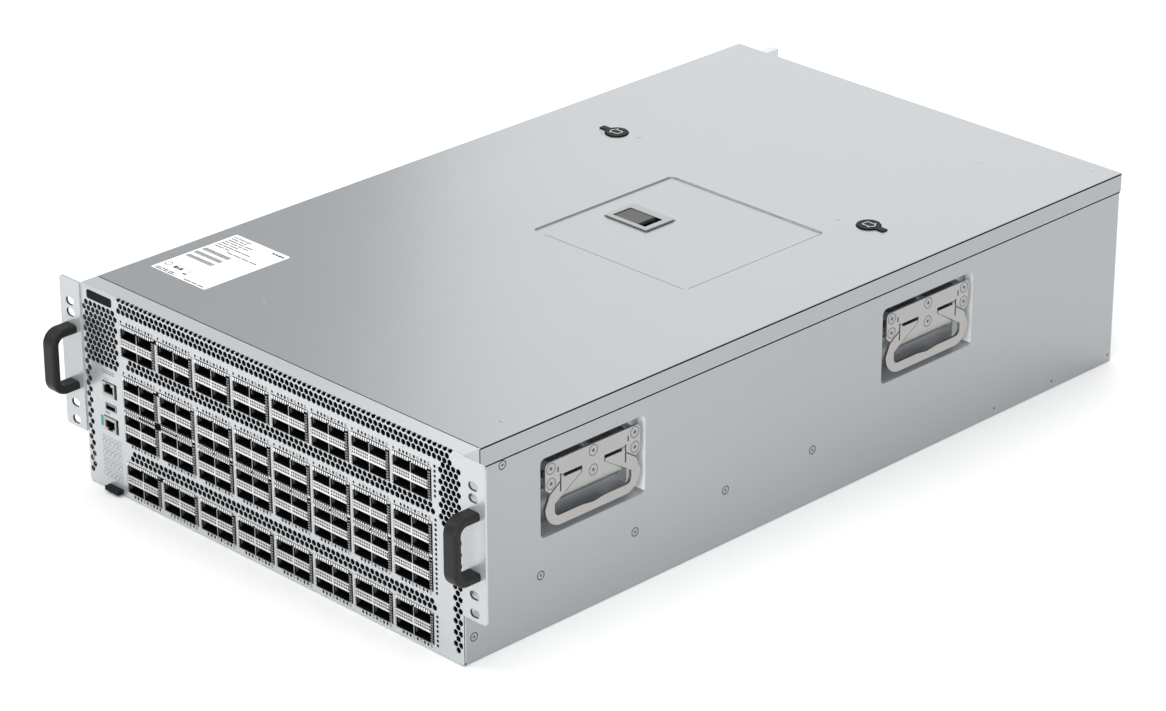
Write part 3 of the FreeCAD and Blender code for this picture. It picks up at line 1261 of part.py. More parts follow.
def make_tray():
    """A fan tray: case with two bores, motor mounts on spokes, guards and a handle."""
    left = tray_left(0)
    run = (back - S.tray_depth, back)
    low = bay_floor
    case = between((left, left + S.tray_width), run, (low, low + S.tray_height))
    x, heights = fan_centres()
    bores = [rod("Y", (x, run[0] - 1.0, z), S.fan_radius, S.tray_depth + 2.0) for z in heights]
    extras = []
    sockets = []
    for z in heights:
        extras.append(rod("Y", (x, back - S.motor_back - S.motor_depth, z), S.hub_radius,
                          S.motor_depth + S.motor_back))
        spoke_run = (back - S.spoke_depth, back)
        reach = S.fan_radius + 1.0
        extras.append(between((x - reach, x + reach), spoke_run,
                              (z - S.spoke_width / 2, z + S.spoke_width / 2)))
        extras.append(between((x - S.spoke_width / 2, x + S.spoke_width / 2), spoke_run,
                              (z - reach, z + reach)))
        for share in (1, 2):
            radius = S.hub_radius + share * (S.fan_radius - S.hub_radius) / 3
            extras.append(ring_tube(x, back - S.spoke_depth / 2, z, radius, S.spoke_width / 2,
                                    S.spoke_depth / 2))
        sockets.append(rod("Y", (x, back - S.motor_back - S.motor_depth - 1.0, z),
                           S.shaft_radius + S.shaft_fit, S.motor_depth))
    middle = low + S.tray_height / 2
    grip = (left + S.tray_handle_x - S.tray_handle_width / 2,
            left + S.tray_handle_x + S.tray_handle_width / 2)
    half = S.tray_handle_height / 2
    bar = S.tray_handle_bar
    reach = (back, back + S.tray_handle_reach)
    loop = [between(grip, reach, (middle + half - bar, middle + half)),
            between(grip, reach, (middle - half, middle - half + bar)),
            between(grip, (reach[1] - bar, reach[1]), (middle - half, middle + half))]
    return fuse([cut(fuse([cut(case, bores)] + extras), sockets)] + loop)


def make_rotor(body):
    """A fan rotor on the origin: hub, shaft towards the back and swept blades."""
    hub = new_sketch(body, "XZ_Plane", 0.0)
    circle(hub, 0.0, 0.0, S.hub_radius)
    pad(body, hub, S.rotor_depth)
    shaft = new_sketch(body, "XZ_Plane", 0.0)
    circle(shaft, 0.0, 0.0, S.shaft_radius)
    pad(body, shaft, S.motor_depth * 0.6, reverse=True)
    blade = new_sketch(body, "YZ_Plane", S.hub_radius - 1.0)
    chord = S.rotor_depth.value * 0.92
    slope = math.radians(S.blade_angle.value)
    lean = chord * math.tan(slope) / 2
    start = -S.rotor_depth.value * 0.04
    thick = S.blade_thickness.value / math.cos(slope)
    outline(blade, [(start - chord, -lean), (start, lean), (start, lean + thick),
                    (start - chord, thick - lean)])
    first = pad(body, blade, S.blade_radius - S.hub_radius - 2.0)
    blades = body.newObject("PartDesign::PolarPattern", "Blades")
    blades.Originals = [first]
    blades.Axis = (hub, ["N_Axis"])
    blades.Angle = 360
    blades.Occurrences = number(S.blade_count)
    body.Tip = blades


def make_rear_modules():
    """Four supplies with levers and four fan trays with two rotors each."""
    supply = make_supply()
    lever = make_lever()
    tray = make_tray()
    rotor = doc.addObject("PartDesign::Body", "Body")
    make_rotor(rotor)
    doc.recompute()
    for index in range(4):
        rise = Placement(Vector(0, 0, (index * psu_pitch).value), Rotation())
        copy_of(supply, f"power_supply_{index + 1}", rise)
        copy_of(lever, f"supply_lever_{index + 1}", rise)
    x, heights = fan_centres()
    hub_y = back - S.motor_back - S.motor_depth - S.rotor_gap
    for index in range(number(S.tray_count)):
        step = index * tray_pitch
        copy_of(tray, f"fan_tray_{index + 1}", Placement(Vector(step.value, 0, 0), Rotation()))
        for level, z in zip(("lower", "upper"), heights):
            centre = Vector((x + step).value, hub_y.value, z.value)
            copy_of(rotor, f"fan_rotor_{index + 1}_{level}", Placement(centre, Rotation()))


# ---- the whole switch --------------------------------------------------------------

def check_and_write():
    """Check every object of the document, then write one file for each sub-part."""
    doc.recompute()
    for item in doc.Objects:
        if "Invalid" in item.State or "Error" in item.State:
            raise RuntimeError(f"{item.Name} ({item.Label}) did not build: {item.State}")
    os.makedirs("parts", exist_ok=True)
    for node in nodes:
        if node.Shape.isNull() or not node.Shape.isValid():
            raise RuntimeError(f"{node.Label} has no valid shape")
        node.Shape.exportStep(f"parts/{node.Label}.step")
        box_size = node.Shape.BoundBox
        print(f"{node.Label}: {len(node.Shape.Solids)} solids, volume {node.Shape.Volume:.0f}, "
              f"x {box_size.XMin:.1f}..{box_size.XMax:.1f}, y {box_size.YMin:.1f}.."
              f"{box_size.YMax:.1f}, z {box_size.ZMin:.1f}..{box_size.ZMax:.1f}")
    print(f"{len(nodes)} sub-parts")


make_chassis()
make_body_screws()
make_front_panel()
make_top_cover()
make_latch()
for side_name, side_sign in SIDES.items():
    make_cover_lock(side_name, side_sign)
    make_ear(side_name, side_sign)
    make_ear_handle(side_name, side_sign)
make_ear_screws()
make_lifting_handles()
make_lift_fixings()
make_cage_row("one", S.row_one_z, False, S.crown_wall)
make_cage_row("two", S.row_two_z, False, S.crown_wall)
make_cage_row("three", row_three_z, True, S.crown_wall)
make_cage_row("four", S.row_four_z, True, S.crown_wall)
make_management_ports()
make_port_bracket()
make_tag()
make_boards()
make_board_posts()
make_electronics()
make_rear_frame()
make_power_boards()
make_rear_modules()
check_and_write()
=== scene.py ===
"""Looks of a four-unit rack switch chassis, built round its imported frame.

The frame holds the true shapes of the sheet metal, cages, handles and modules.  This file
gives each of them its finish, and adds what is too fine for the frame: the small vents and
lamp holes of the front, spring fingers, connector insides, printed marks, labels, screw
drives, fan guards and the marks of the rear modules.  Lengths are in millimetres, with X to
the right seen from the front, Y to the back and Z up.
"""

import logging
import math
from collections.abc import Callable, Iterable, Sequence
from dataclasses import dataclass
from enum import Enum

import bmesh
import bpy
from mathutils import Matrix, Vector


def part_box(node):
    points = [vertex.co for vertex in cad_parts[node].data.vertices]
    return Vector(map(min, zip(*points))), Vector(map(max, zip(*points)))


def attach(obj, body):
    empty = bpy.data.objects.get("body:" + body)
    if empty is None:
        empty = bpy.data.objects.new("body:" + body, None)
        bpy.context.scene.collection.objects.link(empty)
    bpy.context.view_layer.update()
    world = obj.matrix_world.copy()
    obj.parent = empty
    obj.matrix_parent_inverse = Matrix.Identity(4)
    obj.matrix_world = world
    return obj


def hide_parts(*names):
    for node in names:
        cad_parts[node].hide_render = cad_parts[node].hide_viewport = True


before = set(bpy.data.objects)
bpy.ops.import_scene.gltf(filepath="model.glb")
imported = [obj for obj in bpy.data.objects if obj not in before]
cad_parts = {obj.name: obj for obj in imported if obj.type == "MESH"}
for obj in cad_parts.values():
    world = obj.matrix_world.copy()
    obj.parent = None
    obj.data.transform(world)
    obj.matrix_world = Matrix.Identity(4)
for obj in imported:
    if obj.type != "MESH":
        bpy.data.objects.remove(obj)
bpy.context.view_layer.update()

MM = 0.001
LOG = logging.getLogger("switch")
Point = tuple[float, float, float]
Span = tuple[float, float]
Colour = tuple[float, float, float]
Socket = bpy.types.NodeSocket


class Axis(Enum):
    """A direction that a round or flat shape faces."""

    X = "x"
    Y = "y"
    Z = "z"

    def turn(self) -> Matrix:
        """Returns the turn that takes +Z to this axis."""
        return {Axis.X: Matrix.Rotation(math.pi / 2, 4, "Y"), Axis.Z: Matrix.Identity(4),
                Axis.Y: Matrix.Rotation(-math.pi / 2, 4, "X")}[self]


class Side(Enum):
    """The left or right of the chassis, seen from the front."""

    LEFT = -1
    RIGHT = 1


class Slot(Enum):
    """Material slots of the part's record."""

    BODY = "body_paint"
    PLATED = "plated_steel"
    HANDLE = "handle_coat"
    CAGE = "cage_metal"
    BLACK = "black_plastic"
    LATCH = "latch_plastic"
    PADDLE = "paddle_plastic"
    JACK = "jack_shield"
    BOARD = "board"
    FAN = "fan_plastic"
    LEVER = "lever_plastic"


# ---- finishes ------------------------------------------------------------------------


class Nodes:
    """A material's node tree, with short calls for the nodes that the finishes share."""

    def __init__(self, name: str) -> None:
        """Starts a node material.

        Args:
            name: The material's name.
        """
        self.material = bpy.data.materials.new(name)
        self.material.use_nodes = True
        self.tree = self.material.node_tree
        self.shader = self.tree.nodes["Principled BSDF"]
        self.place = self.tree.nodes.new("ShaderNodeTexCoord").outputs["Object"]

    def give(self, name: str, value: Socket) -> None:
        """Joins a value to one of the shader's inputs."""
        self.tree.links.new(value, self.shader.inputs[name])

    def add(self, kind: str, result: str, inputs: dict[str, object], **settings: str) -> Socket:
        """Adds a node.

        Args:
            kind: Its type.
            result: Name of the output that is wanted.
            inputs: What each input gets: a socket, a constant or a colour.
            settings: Its other settings.

        Returns:
            The output.
        """
        node = self.tree.nodes.new(kind)
        for name, value in settings.items():
            setattr(node, name, value)
        for name, value in inputs.items():
            target = node.inputs[name]
            if isinstance(value, Socket):
                self.tree.links.new(value, target)
            else:
                target.default_value = (*value, 1.0) if target.type == "RGBA" else value
        return node.outputs[result]

    def stretched(self, scale: Point) -> Socket:
        """Returns the object's coordinates, scaled by a different amount along each axis."""
        return self.add("ShaderNodeMapping", "Vector", {"Scale": scale, "Vector": self.place})

    def noise(self, scale: float, detail: float = 2.0, vector: Socket | None = None) -> Socket:
        """Returns a noise of a scale in repeats a metre, on the object's or other coordinates."""
        return self.add("ShaderNodeTexNoise", "Fac", {
            "Scale": scale, "Detail": detail, "Vector": vector or self.place})

    def ranged(self, value: Socket, low: float, high: float, from_low: float = 0.3,
               from_high: float = 0.7) -> Socket:
        """Maps a value to a range.

        Args:
            value: The value.
            low: Result at from_low.
            high: Result at from_high.
            from_low: Value that gives low.
            from_high: Value that gives high.

        Returns:
            The mapped value, clamped to the range.
        """
        return self.add("ShaderNodeMapRange", "Result", {
            "From Min": from_low, "From Max": from_high, "To Min": low, "To Max": high,
            "Value": value})

    def blended(self, factor: Socket, first: Colour | Socket, second: Colour) -> Socket:
        """Returns the first colour where the factor is 0, and the second where it is 1."""
        return self.add("ShaderNodeMix", "Result", {"A": first, "B": second, "Factor": factor},
                        data_type="RGBA")

    def bump(self, height: Socket, depth: float) -> None:
        """Gives the surface a relief of a depth in millimetres."""
        self.give("Normal", self.add("ShaderNodeBump", "Normal", {
            "Distance": depth * MM, "Height": height}))

    def axis(self, name: str) -> Socket:
        """Returns one of the object's coordinates, named X, Y or Z."""
        return self.add("ShaderNodeSeparateXYZ", name, {"Vector": self.place})


@dataclass(frozen=True)
class Finish:
    """A surface with a base colour that varies a little, a sheen and a fine grain."""

    name: str
    colour: Colour
    roughness: float = 0.5
    metallic: float = 0.0
    variation: float = 0.05
    grain: float = 900.0
    relief: float = 0.01
    coat: float = 0.0
    shine: float = 0.5

    def shades(self) -> tuple[Colour, Colour]:
        """Works out how far the colour varies.

        Returns:
            Its darkest and its lightest shade.
        """
        low, high = 1.0 - self.variation, 1.0 + self.variation
        return (tuple(value * low for value in self.colour),
                tuple(min(value * high, 1.0) for value in self.colour))

    def lay(self, nodes: Nodes, tint: Socket, sheen: Socket, relief: Socket, spread: Span,
            reach: Span = (0.3, 0.7)) -> None:
        """Sets colour, sheen and relief on the shader.

        Args:
            nodes: The material being made.
            tint: Pattern of the shades.
            sheen: Pattern of the roughness.
            relief: Pattern of the relief.
            spread: Least and greatest roughness, as shares of the finish's own.
            reach: Values of the patterns that give the two ends.
        """
        nodes.give("Base Color", nodes.blended(nodes.ranged(tint, 0.0, 1.0, *reach),
                                               *self.shades()))
        nodes.give("Roughness", nodes.ranged(sheen, self.roughness * spread[0],
                                             self.roughness * spread[1], *reach))
        nodes.bump(relief, self.relief)

    def paint(self, nodes: Nodes) -> None:
        """Sets an even colour with a fine grain.

        Args:
            nodes: The material being made.
        """
        cloud, grain = nodes.noise(7.0, 3.0), nodes.noise(self.grain)
        self.lay(nodes, cloud, grain, grain, (0.9, 1.1))

    def material(self) -> bpy.types.Material:
        """Makes the finish a Blender material, once.

        Returns:
            The material.
        """
        label = f"{self.name}_finish"
        if label not in bpy.data.materials:
            nodes = Nodes(label)
            nodes.shader.inputs["Metallic"].default_value = self.metallic
            nodes.shader.inputs["Coat Weight"].default_value = self.coat
            nodes.shader.inputs["Specular IOR Level"].default_value = self.shine
            self.paint(nodes)
        return bpy.data.materials[label]


@dataclass(frozen=True)
class Coated(Finish):
    """Powder coat on sheet steel: an even orange peel, with faint rubbed patches."""

    variation: float = 0.012
    grain: float = 700.0
    relief: float = 0.001

    def paint(self, nodes: Nodes) -> None:
        """Sets the coat's colour, its rubbed patches and its orange peel.

        Args:
            nodes: The material being made.
        """
        cloud = nodes.noise(4.0, 1.0)
        rub = nodes.noise(1.0, 1.0, nodes.stretched((18.0, 5.0, 18.0)))
        peel = nodes.noise(self.grain, 1.0)
        self.lay(nodes, cloud, rub, peel, (0.95, 1.05), (0.1, 0.9))


@dataclass(frozen=True)
class Brushed(Finish):
    """Bare or plated metal with fine marks drawn along one direction."""

    along: Axis = Axis.X
    stretch: float = 60.0

    def paint(self, nodes: Nodes) -> None:
        """Sets the metal's colour and its drawn marks.

        Args:
            nodes: The material being made.
        """
        scale = tuple(self.grain / (self.stretch if axis is self.along else 1.0)
                      for axis in Axis)
        marks = nodes.noise(1.0, 3.0, nodes.stretched(scale))
        self.lay(nodes, marks, nodes.noise(25.0, 3.0), marks, (0.8, 1.25))


@dataclass(frozen=True)
class Shaded(Brushed):
    """Plated metal with painted shade, which darkens it along the depth of a pocket."""

    mouth: float = 0.0
    throat: float = 3.0
    # The colour of the painted shade deep in the pocket.
    dark: Colour = (0.006, 0.006, 0.007)

    def paint(self, nodes: Nodes) -> None:
        """Sets the metal's colour, with painted shade that darkens it from the pocket's mouth to
        its throat.

        Args:
            nodes: The material being made.
        """
        super().paint(nodes)
        grain = nodes.noise(self.grain)
        reach = self.mouth * MM, (self.mouth + self.throat) * MM
        # Painted shade: over the throat the colour turns to the dark one and the metal fades out.
        depth = nodes.ranged(nodes.axis("Y"), 0.0, 1.0, *reach)
        metal = nodes.blended(nodes.ranged(grain, 0.0, 1.0), *self.shades())
        nodes.give("Base Color", nodes.blended(depth, metal, self.dark))
        nodes.give("Metallic", nodes.ranged(nodes.axis("Y"), self.metallic, 0.0, *reach))


@dataclass(frozen=True)
class Masked(Finish):
    """A circuit board: solder mask over a mesh of fine copper tracks."""

    tracks: Colour = (0.06, 0.24, 0.12)

    def paint(self, nodes: Nodes) -> None:
        """Sets the mask's colour, its tracks and their relief.

        Args:
            nodes: The material being made.
        """
        mask = nodes.add("ShaderNodeTexBrick", "Color", {
            "Scale": 90.0, "Mortar Size": 0.03, "Color1": self.colour,
            "Color2": self.shades()[0], "Mortar": self.tracks, "Vector": nodes.place})
        nodes.give("Base Color", mask)
        nodes.give("Roughness", nodes.ranged(nodes.noise(self.grain), self.roughness * 0.8,
                                             self.roughness * 1.2))
        nodes.bump(mask.node.outputs["Fac"], self.relief)


GREY_COAT = Coated("grey_coat", (0.375, 0.395, 0.408), 0.27, 0.82)
# A lighter copy of the body coat, painted light on the front panel, the ears and the recess floors;
# the rear frame wears it too.
LIT_COAT = Coated("lit_coat", (0.5, 0.523, 0.538), 0.25, 0.50)
PLATE_STEEL = Coated("plate_steel", (0.385, 0.38, 0.375), 0.26, 0.85)
# Near white that is painted light on the handle recesses' rear walls, which face the front.
LIT_WALL = Coated("painted_light_wall", (0.90, 0.905, 0.91), 0.35, 0.05, variation=0.02)
HANDLE_COAT = Coated("handle_coat", (0.018, 0.018, 0.018), 0.36, variation=0.12, grain=1700.0,
                     relief=0.004, shine=0.14)
# Dark grey of painted shade: on the walls of holes, in screw drives, round screw heads and along
# pressed edges.
SHADE_DARK = Finish("painted_edge_shade", (0.05, 0.052, 0.055), 0.45, 0.2, variation=0.1, shine=0.15)
PLATED = Brushed("plated_steel", (0.60, 0.61, 0.62), 0.34, 0.85, 0.10, 1500.0, 0.006)
SCREW = Brushed("screw_steel", (0.37, 0.38, 0.385), 0.30, 0.85, 0.04, 1500.0, 0.002)
SPRING = Brushed("spring_metal", (0.80, 0.80, 0.79), 0.24, 0.65, 0.06, 1800.0, 0.003)
MESH_METAL = Brushed("gasket_metal", (0.34, 0.34, 0.335), 0.42, 0.8, 0.15, 1600.0, 0.006)
BAND_METAL = Brushed("band_metal", (0.66, 0.66, 0.65), 0.30, 0.6, 0.06, 1500.0, 0.004)
SINK = Brushed("sink_aluminium", (0.70, 0.71, 0.72), 0.30, 0.9, 0.05, 1500.0, 0.005,
               along=Axis.Y)
COPPER = Brushed("bus_copper", (0.72, 0.38, 0.22), 0.30, 1.0, 0.10, 1400.0, 0.005,
                 along=Axis.Y)
# Cage and jack metal, with painted shade that darkens them inside their pockets.
CAGE = Shaded("cage_metal", (0.62, 0.62, 0.61), 0.30, 0.85, 0.10, 1600.0, 0.005, shine=0.05,
              mouth=-380.45, throat=0.5)
JACK_SHIELD = Shaded("jack_shield", (0.42, 0.42, 0.41), 0.30, 0.85, 0.08, 1600.0, 0.004,
                     shine=0.05, mouth=-380.2, throat=1.0)
# Near black for the tabs and lips inside the ports, darkened as painted shade.
TAB_SHADE = Finish("shaded_tab_metal", (0.10, 0.10, 0.10), 0.4, 0.6, variation=0.1, shine=0.2)
GOLD = Finish("contact_gold", (0.55, 0.38, 0.14), 0.3, 1.0)
LATCH_GREY = Finish("latch_grey", (0.33, 0.34, 0.34), 0.3, 0.7, variation=0.03, relief=0.004)
PADDLE_GREY = Finish("paddle_grey", (0.06, 0.062, 0.065), 0.42, variation=0.08, shine=0.3)
# Black that is painted shade in holes, slots, gaps and behind fingers, and a painted dark
# reflection along the lid's folds.
SHADE_BLACK = Finish("painted_shade_black", (0.004, 0.004, 0.005), 0.85, variation=0.2, shine=0.03)
BLACK = Finish("black_moulding", (0.010, 0.010, 0.011), 0.42, variation=0.15, grain=1500.0,
               relief=0.006, shine=0.06)
GLOSS_BLACK = Finish("gloss_black", (0.005, 0.005, 0.006), 0.2, variation=0.1, shine=0.05)
FAN_BLACK = Finish("fan_black", (0.03, 0.03, 0.032), 0.42, variation=0.1)
LEVER_BLUE = Finish("lever_blue", (0.05, 0.16, 0.36), 0.42, variation=0.06)
CHIP = Finish("chip_case", (0.03, 0.03, 0.032), 0.55, variation=0.12)
LENS = Finish("lamp_lens", (0.42, 0.44, 0.44), 0.2, variation=0.04, coat=0.4)
BOARD = Masked("solder_mask", (0.004, 0.022, 0.012), 0.4, relief=0.02, shine=0.2,
               tracks=(0.012, 0.05, 0.026))
LABEL = Finish("label_film", (0.90, 0.90, 0.90), 0.38, variation=0.01, relief=0.002)
INK = Finish("grey_ink", (0.10, 0.10, 0.105), variation=0.08, relief=0.002, shine=0.2)
PALE_INK = Finish("pale_ink", (0.20, 0.21, 0.215), relief=0.002, shine=0.3)
DARK_INK = Finish("dark_ink", (0.04, 0.04, 0.042), variation=0.08, relief=0.002, shine=0.2)
WHITE_INK = Finish("white_ink", (0.80, 0.80, 0.80), 0.45, variation=0.02, relief=0.002)
TEAL = Finish("teal_ink", (0.02, 0.28, 0.28), 0.4, relief=0.002)


# ---- modelling -----------------------------------------------------------------------


def steps(first: float, pitch: float, count: int) -> list[float]:
    """Returns count places from first, pitch apart."""
    return [first + pitch * index for index in range(count)]


def runs(first: float, widths: Iterable[float], gap: float = 1.0) -> list[Span]:
    """Sets bars side by side.

    Args:
        first: Where the first one starts.
        widths: Their widths.
        gap: The gap between two.

    Returns:
        Their spans.
    """
    spans = []
    for width in widths:
        spans.append((first, first + width))
        first += width + gap
    return spans


def unique(items: Iterable[object]) -> list[object]:
    """Returns the items without repeats, in the order in which they come."""
    return list(dict.fromkeys(items))


def around(x: Span, y: Span) -> list[Span]:
    """Returns the four corners of a rectangle in order."""
    return [(x[0], y[0]), (x[1], y[0]), (x[1], y[1]), (x[0], y[1])]


def show(name: str, mesh: bmesh.types.BMesh, finishes: Sequence[Finish]) -> bpy.types.Object:
    """Makes a mesh an object of the scene, and frees the mesh.

    Args:
        name: The object's name.
        mesh: Its form, in metres.
        finishes: Its finishes.

    Returns:
        The object.
    """
    data = bpy.data.meshes.new(name)
    mesh.to_mesh(data)
    mesh.free()
    for finish in finishes:
        data.materials.append(finish.material())
    piece = bpy.data.objects.new(name, data)
    bpy.context.scene.collection.objects.link(piece)
    return piece


def shade(mesh: bmesh.types.BMesh, smooth: float) -> None:
    """Shades gentle edges smooth and keeps the others sharp.

    Args:
        mesh: The mesh.
        smooth: Largest turn, in degrees, that is shaded smooth.
    """
    limit = math.radians(smooth)
    for face in mesh.faces:
        face.smooth = True
    for edge in mesh.edges:
        edge.smooth = edge.is_manifold and edge.calc_face_angle(math.pi) < limit


class Piece:
    """A mesh that is modelled in millimetres and then rides on a body of the frame."""

    def __init__(self, name: str, *finishes: Finish) -> None:
        """Starts an empty piece.

        Args:
            name: The piece's name.
            finishes: Its finishes, which the shapes name by their place in the list.
        """
        self.name = name
        self.finishes = finishes
        self.mesh = bmesh.new()

    def _close(self, verts: Sequence[bmesh.types.BMVert], finish: int, width: float,
               segments: int) -> None:
        """Gives new geometry its finish and rounds its edges.

        Args:
            verts: The new vertices.
            finish: Place of the finish in the piece's list.
            width: Width of the edge rounds, or 0 for none.
            segments: Facets across each round.
        """
        for vert in verts:
            for face in vert.link_faces:
                face.material_index = finish
        if width > 0:
            edges = unique(edge for vert in verts for edge in vert.link_edges)
            bmesh.ops.bevel(self.mesh, geom=edges, offset=width, affect="EDGES",
                            segments=segments, profile=0.5, material=-1)

    def block(self, x: Span, y: Span, z: Span, finish: int = 0, edge: float = 0.0,
              segments: int = 1) -> None:
        """Adds a block.

        Args:
            x: Where it starts and ends along X, in either order.
            y: The same along Y.
            z: The same along Z.
            finish: Place of its finish.
            edge: Width of its edge rounds.
            segments: Facets across each round.
        """
        low, high = (Vector(corner) for corner in zip(*(sorted(span) for span in (x, y, z))))
        place = Matrix.Translation((low + high) / 2) @ Matrix.Diagonal((*(high - low), 1.0))
        made = bmesh.ops.create_cube(self.mesh, size=1.0, matrix=place)
        self._close(made["verts"], finish, edge, segments)

    def rod(self, centre: Point, radius: float, length: float, axis: Axis = Axis.Z,
            finish: int = 0, sides: int = 24, edge: float = 0.0,
            squash: Span = (1.0, 1.0)) -> None:
        """Adds a round or many-sided bar, closed at both ends.

        Args:
            centre: Its middle.
            radius: Its radius.
            length: Length along the axis.
            axis: The way it runs.
            finish: Place of its finish.
            sides: Number of flat sides.
            edge: Width of its edge rounds.
            squash: Scale of its section along the two directions across the axis.
        """
        place = Matrix.Translation(centre) @ axis.turn() @ Matrix.Diagonal((*squash, 1.0, 1.0))
        made = bmesh.ops.create_cone(self.mesh, cap_ends=True, segments=sides, radius1=radius,
                                     radius2=radius, depth=length, matrix=place)
        self._close(made["verts"], finish, edge, 2)

    def _take(self, part: bmesh.types.BMesh, finish: int) -> None:
        """Adds another mesh to this one, all in one finish, and frees it.

        Args:
            part: The mesh to add.
            finish: Place of its finish.
        """
        for face in part.faces:
            face.material_index = finish
        data = bpy.data.meshes.new("part")
        part.to_mesh(data)
        part.free()
        self.mesh.from_mesh(data)
        bpy.data.meshes.remove(data)

    def sheet(self, points: Sequence[Point], thickness: Point, finish: int = 0,
              round_at: float = 0.0) -> None:
        """Adds a flat shape pulled out to a thickness.

        Args:
            points: Its corners in order.
            thickness: The way and the amount that it is pulled out.
            finish: Place of its finish.
            round_at: Radius of its corners.
        """
        part = bmesh.new()
        verts = [part.verts.new(point) for point in points]
        bmesh.ops.contextual_create(part, geom=verts)
        if round_at > 0:
            bmesh.ops.bevel(part, geom=verts, offset=round_at, affect="VERTICES",
                            segments=5, profile=0.5, material=-1)
        pulled = bmesh.ops.extrude_face_region(part, geom=part.faces[:], use_keep_orig=True)
        top = [item for item in pulled["geom"] if isinstance(item, bmesh.types.BMVert)]
        bmesh.ops.translate(part, verts=top, vec=thickness)
        self._take(part, finish)

    def repeat(self, offsets: Iterable[Point]) -> None:
        """Copies all that the piece holds so far, moved by each of the offsets.

        Args:
            offsets: How far each copy is moved.
        """
        data = bpy.data.meshes.new("pattern")
        self.mesh.to_mesh(data)
        for offset in offsets:
            before = len(self.mesh.verts)
            self.mesh.from_mesh(data)
            self.mesh.verts.ensure_lookup_table()
            bmesh.ops.translate(self.mesh, verts=self.mesh.verts[before:], vec=offset)
        bpy.data.meshes.remove(data)

    def punched(self, x: Span, y: Span, z: Span, columns: int, rows: int, rim: float) -> None:
        """Adds a plate, facing the front, with square pits floored in the second finish.

        Args:
            x: Where it starts and ends along X.
            y: The same along Y.
            z: The same along Z.
            columns: Holes along X.
            rows: Holes along Z.
            rim: Metal left round each hole.
        """
        depth = y[1] - y[0]
        place = (Matrix.Translation((sum(x) / 2, y[0], sum(z) / 2))
                 @ Matrix.Rotation(math.pi / 2, 4, "X")
                 @ Matrix.Diagonal(((x[1] - x[0]) / 2, (z[1] - z[0]) / 2, 1.0, 1.0)))
        made = bmesh.ops.create_grid(self.mesh, x_segments=columns, y_segments=rows, size=1.0,
                                     matrix=place)
        cells = unique(face for vert in made["verts"] for face in vert.link_faces)
        outline = unique(edge for face in cells for edge in face.edges if edge.is_boundary)
        bmesh.ops.inset_individual(self.mesh, faces=cells, thickness=rim, use_even_offset=True)
        skirt = bmesh.ops.extrude_edge_only(self.mesh, edges=outline)
        back = [item for item in skirt["geom"] if isinstance(item, bmesh.types.BMVert)]
        bmesh.ops.translate(self.mesh, verts=back, vec=(0.0, depth, 0.0))
        for face in cells:
            face.material_index = 1
        corners = unique(vert for face in cells for vert in face.verts)
        bmesh.ops.translate(self.mesh, verts=corners, vec=(0.0, depth * 0.8, 0.0))

    def spun(self, profile: Sequence[Span], centre: Point, axis: Axis, finish: int = 0,
             sides: int = 32) -> None:
        """Adds a solid of revolution.

        Args:
            profile: Closed outline as (radius, height along the axis).
            centre: Where height 0 lies on the axis.
            axis: The axis that it is turned about.
            finish: Place of its finish.
            sides: Facets round the turn.
        """
        part = bmesh.new()
        verts = [part.verts.new((radius, 0.0, height)) for radius, height in profile]
        edges = [part.edges.new((verts[index - 1], verts[index])) for index in range(len(verts))]
        bmesh.ops.spin(part, geom=verts + edges, cent=(0.0, 0.0, 0.0), axis=(0.0, 0.0, 1.0),
                       angle=math.tau, steps=sides, use_merge=True, use_duplicate=False)
        bmesh.ops.transform(part, matrix=Matrix.Translation(centre) @ axis.turn(),
                            verts=part.verts)
        self._take(part, finish)

    def words(self, text: str, size: float, place: Matrix, thickness: float,
              finish: int = 0) -> None:
        """Adds figures as thin raised shapes.

        Args:
            text: The figures.
            size: Their height.
            place: Where they stand; they are drawn in the place's XY plane.
            thickness: How far they stand out.
            finish: Place of their finish.
        """
        curve = bpy.data.curves.new(f"{self.name}_figures", "FONT")
        curve.body = text
        curve.size = size
        curve.align_x = "CENTER"
        curve.align_y = "CENTER"
        curve.extrude = thickness / 2
        curve.resolution_u = 2
        holder = bpy.data.objects.new(f"{self.name}_figures", curve)
        flat = bpy.data.meshes.new_from_object(holder)
        part = bmesh.new()
        part.from_mesh(flat)
        bmesh.ops.transform(part, matrix=place, verts=part.verts)
        self._take(part, finish)
        bpy.data.objects.remove(holder)
        bpy.data.curves.remove(curve)
        bpy.data.meshes.remove(flat)

    def ready(self, body: str, smooth: float = 35.0) -> None:
        """Turns the mesh into an object that rides on a body.

        Args:
            body: The body it moves with.
            smooth: Edges that turn by less than this many degrees are shaded smooth.
        """
        bmesh.ops.scale(self.mesh, vec=(MM, MM, MM), verts=self.mesh.verts)
        bmesh.ops.recalc_face_normals(self.mesh, faces=self.mesh.faces)
        shade(self.mesh, smooth)
        piece = show(self.name, self.mesh, self.finishes)
        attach(piece, body)
        LOG.info("%s: %d faces", self.name, len(piece.data.polygons))


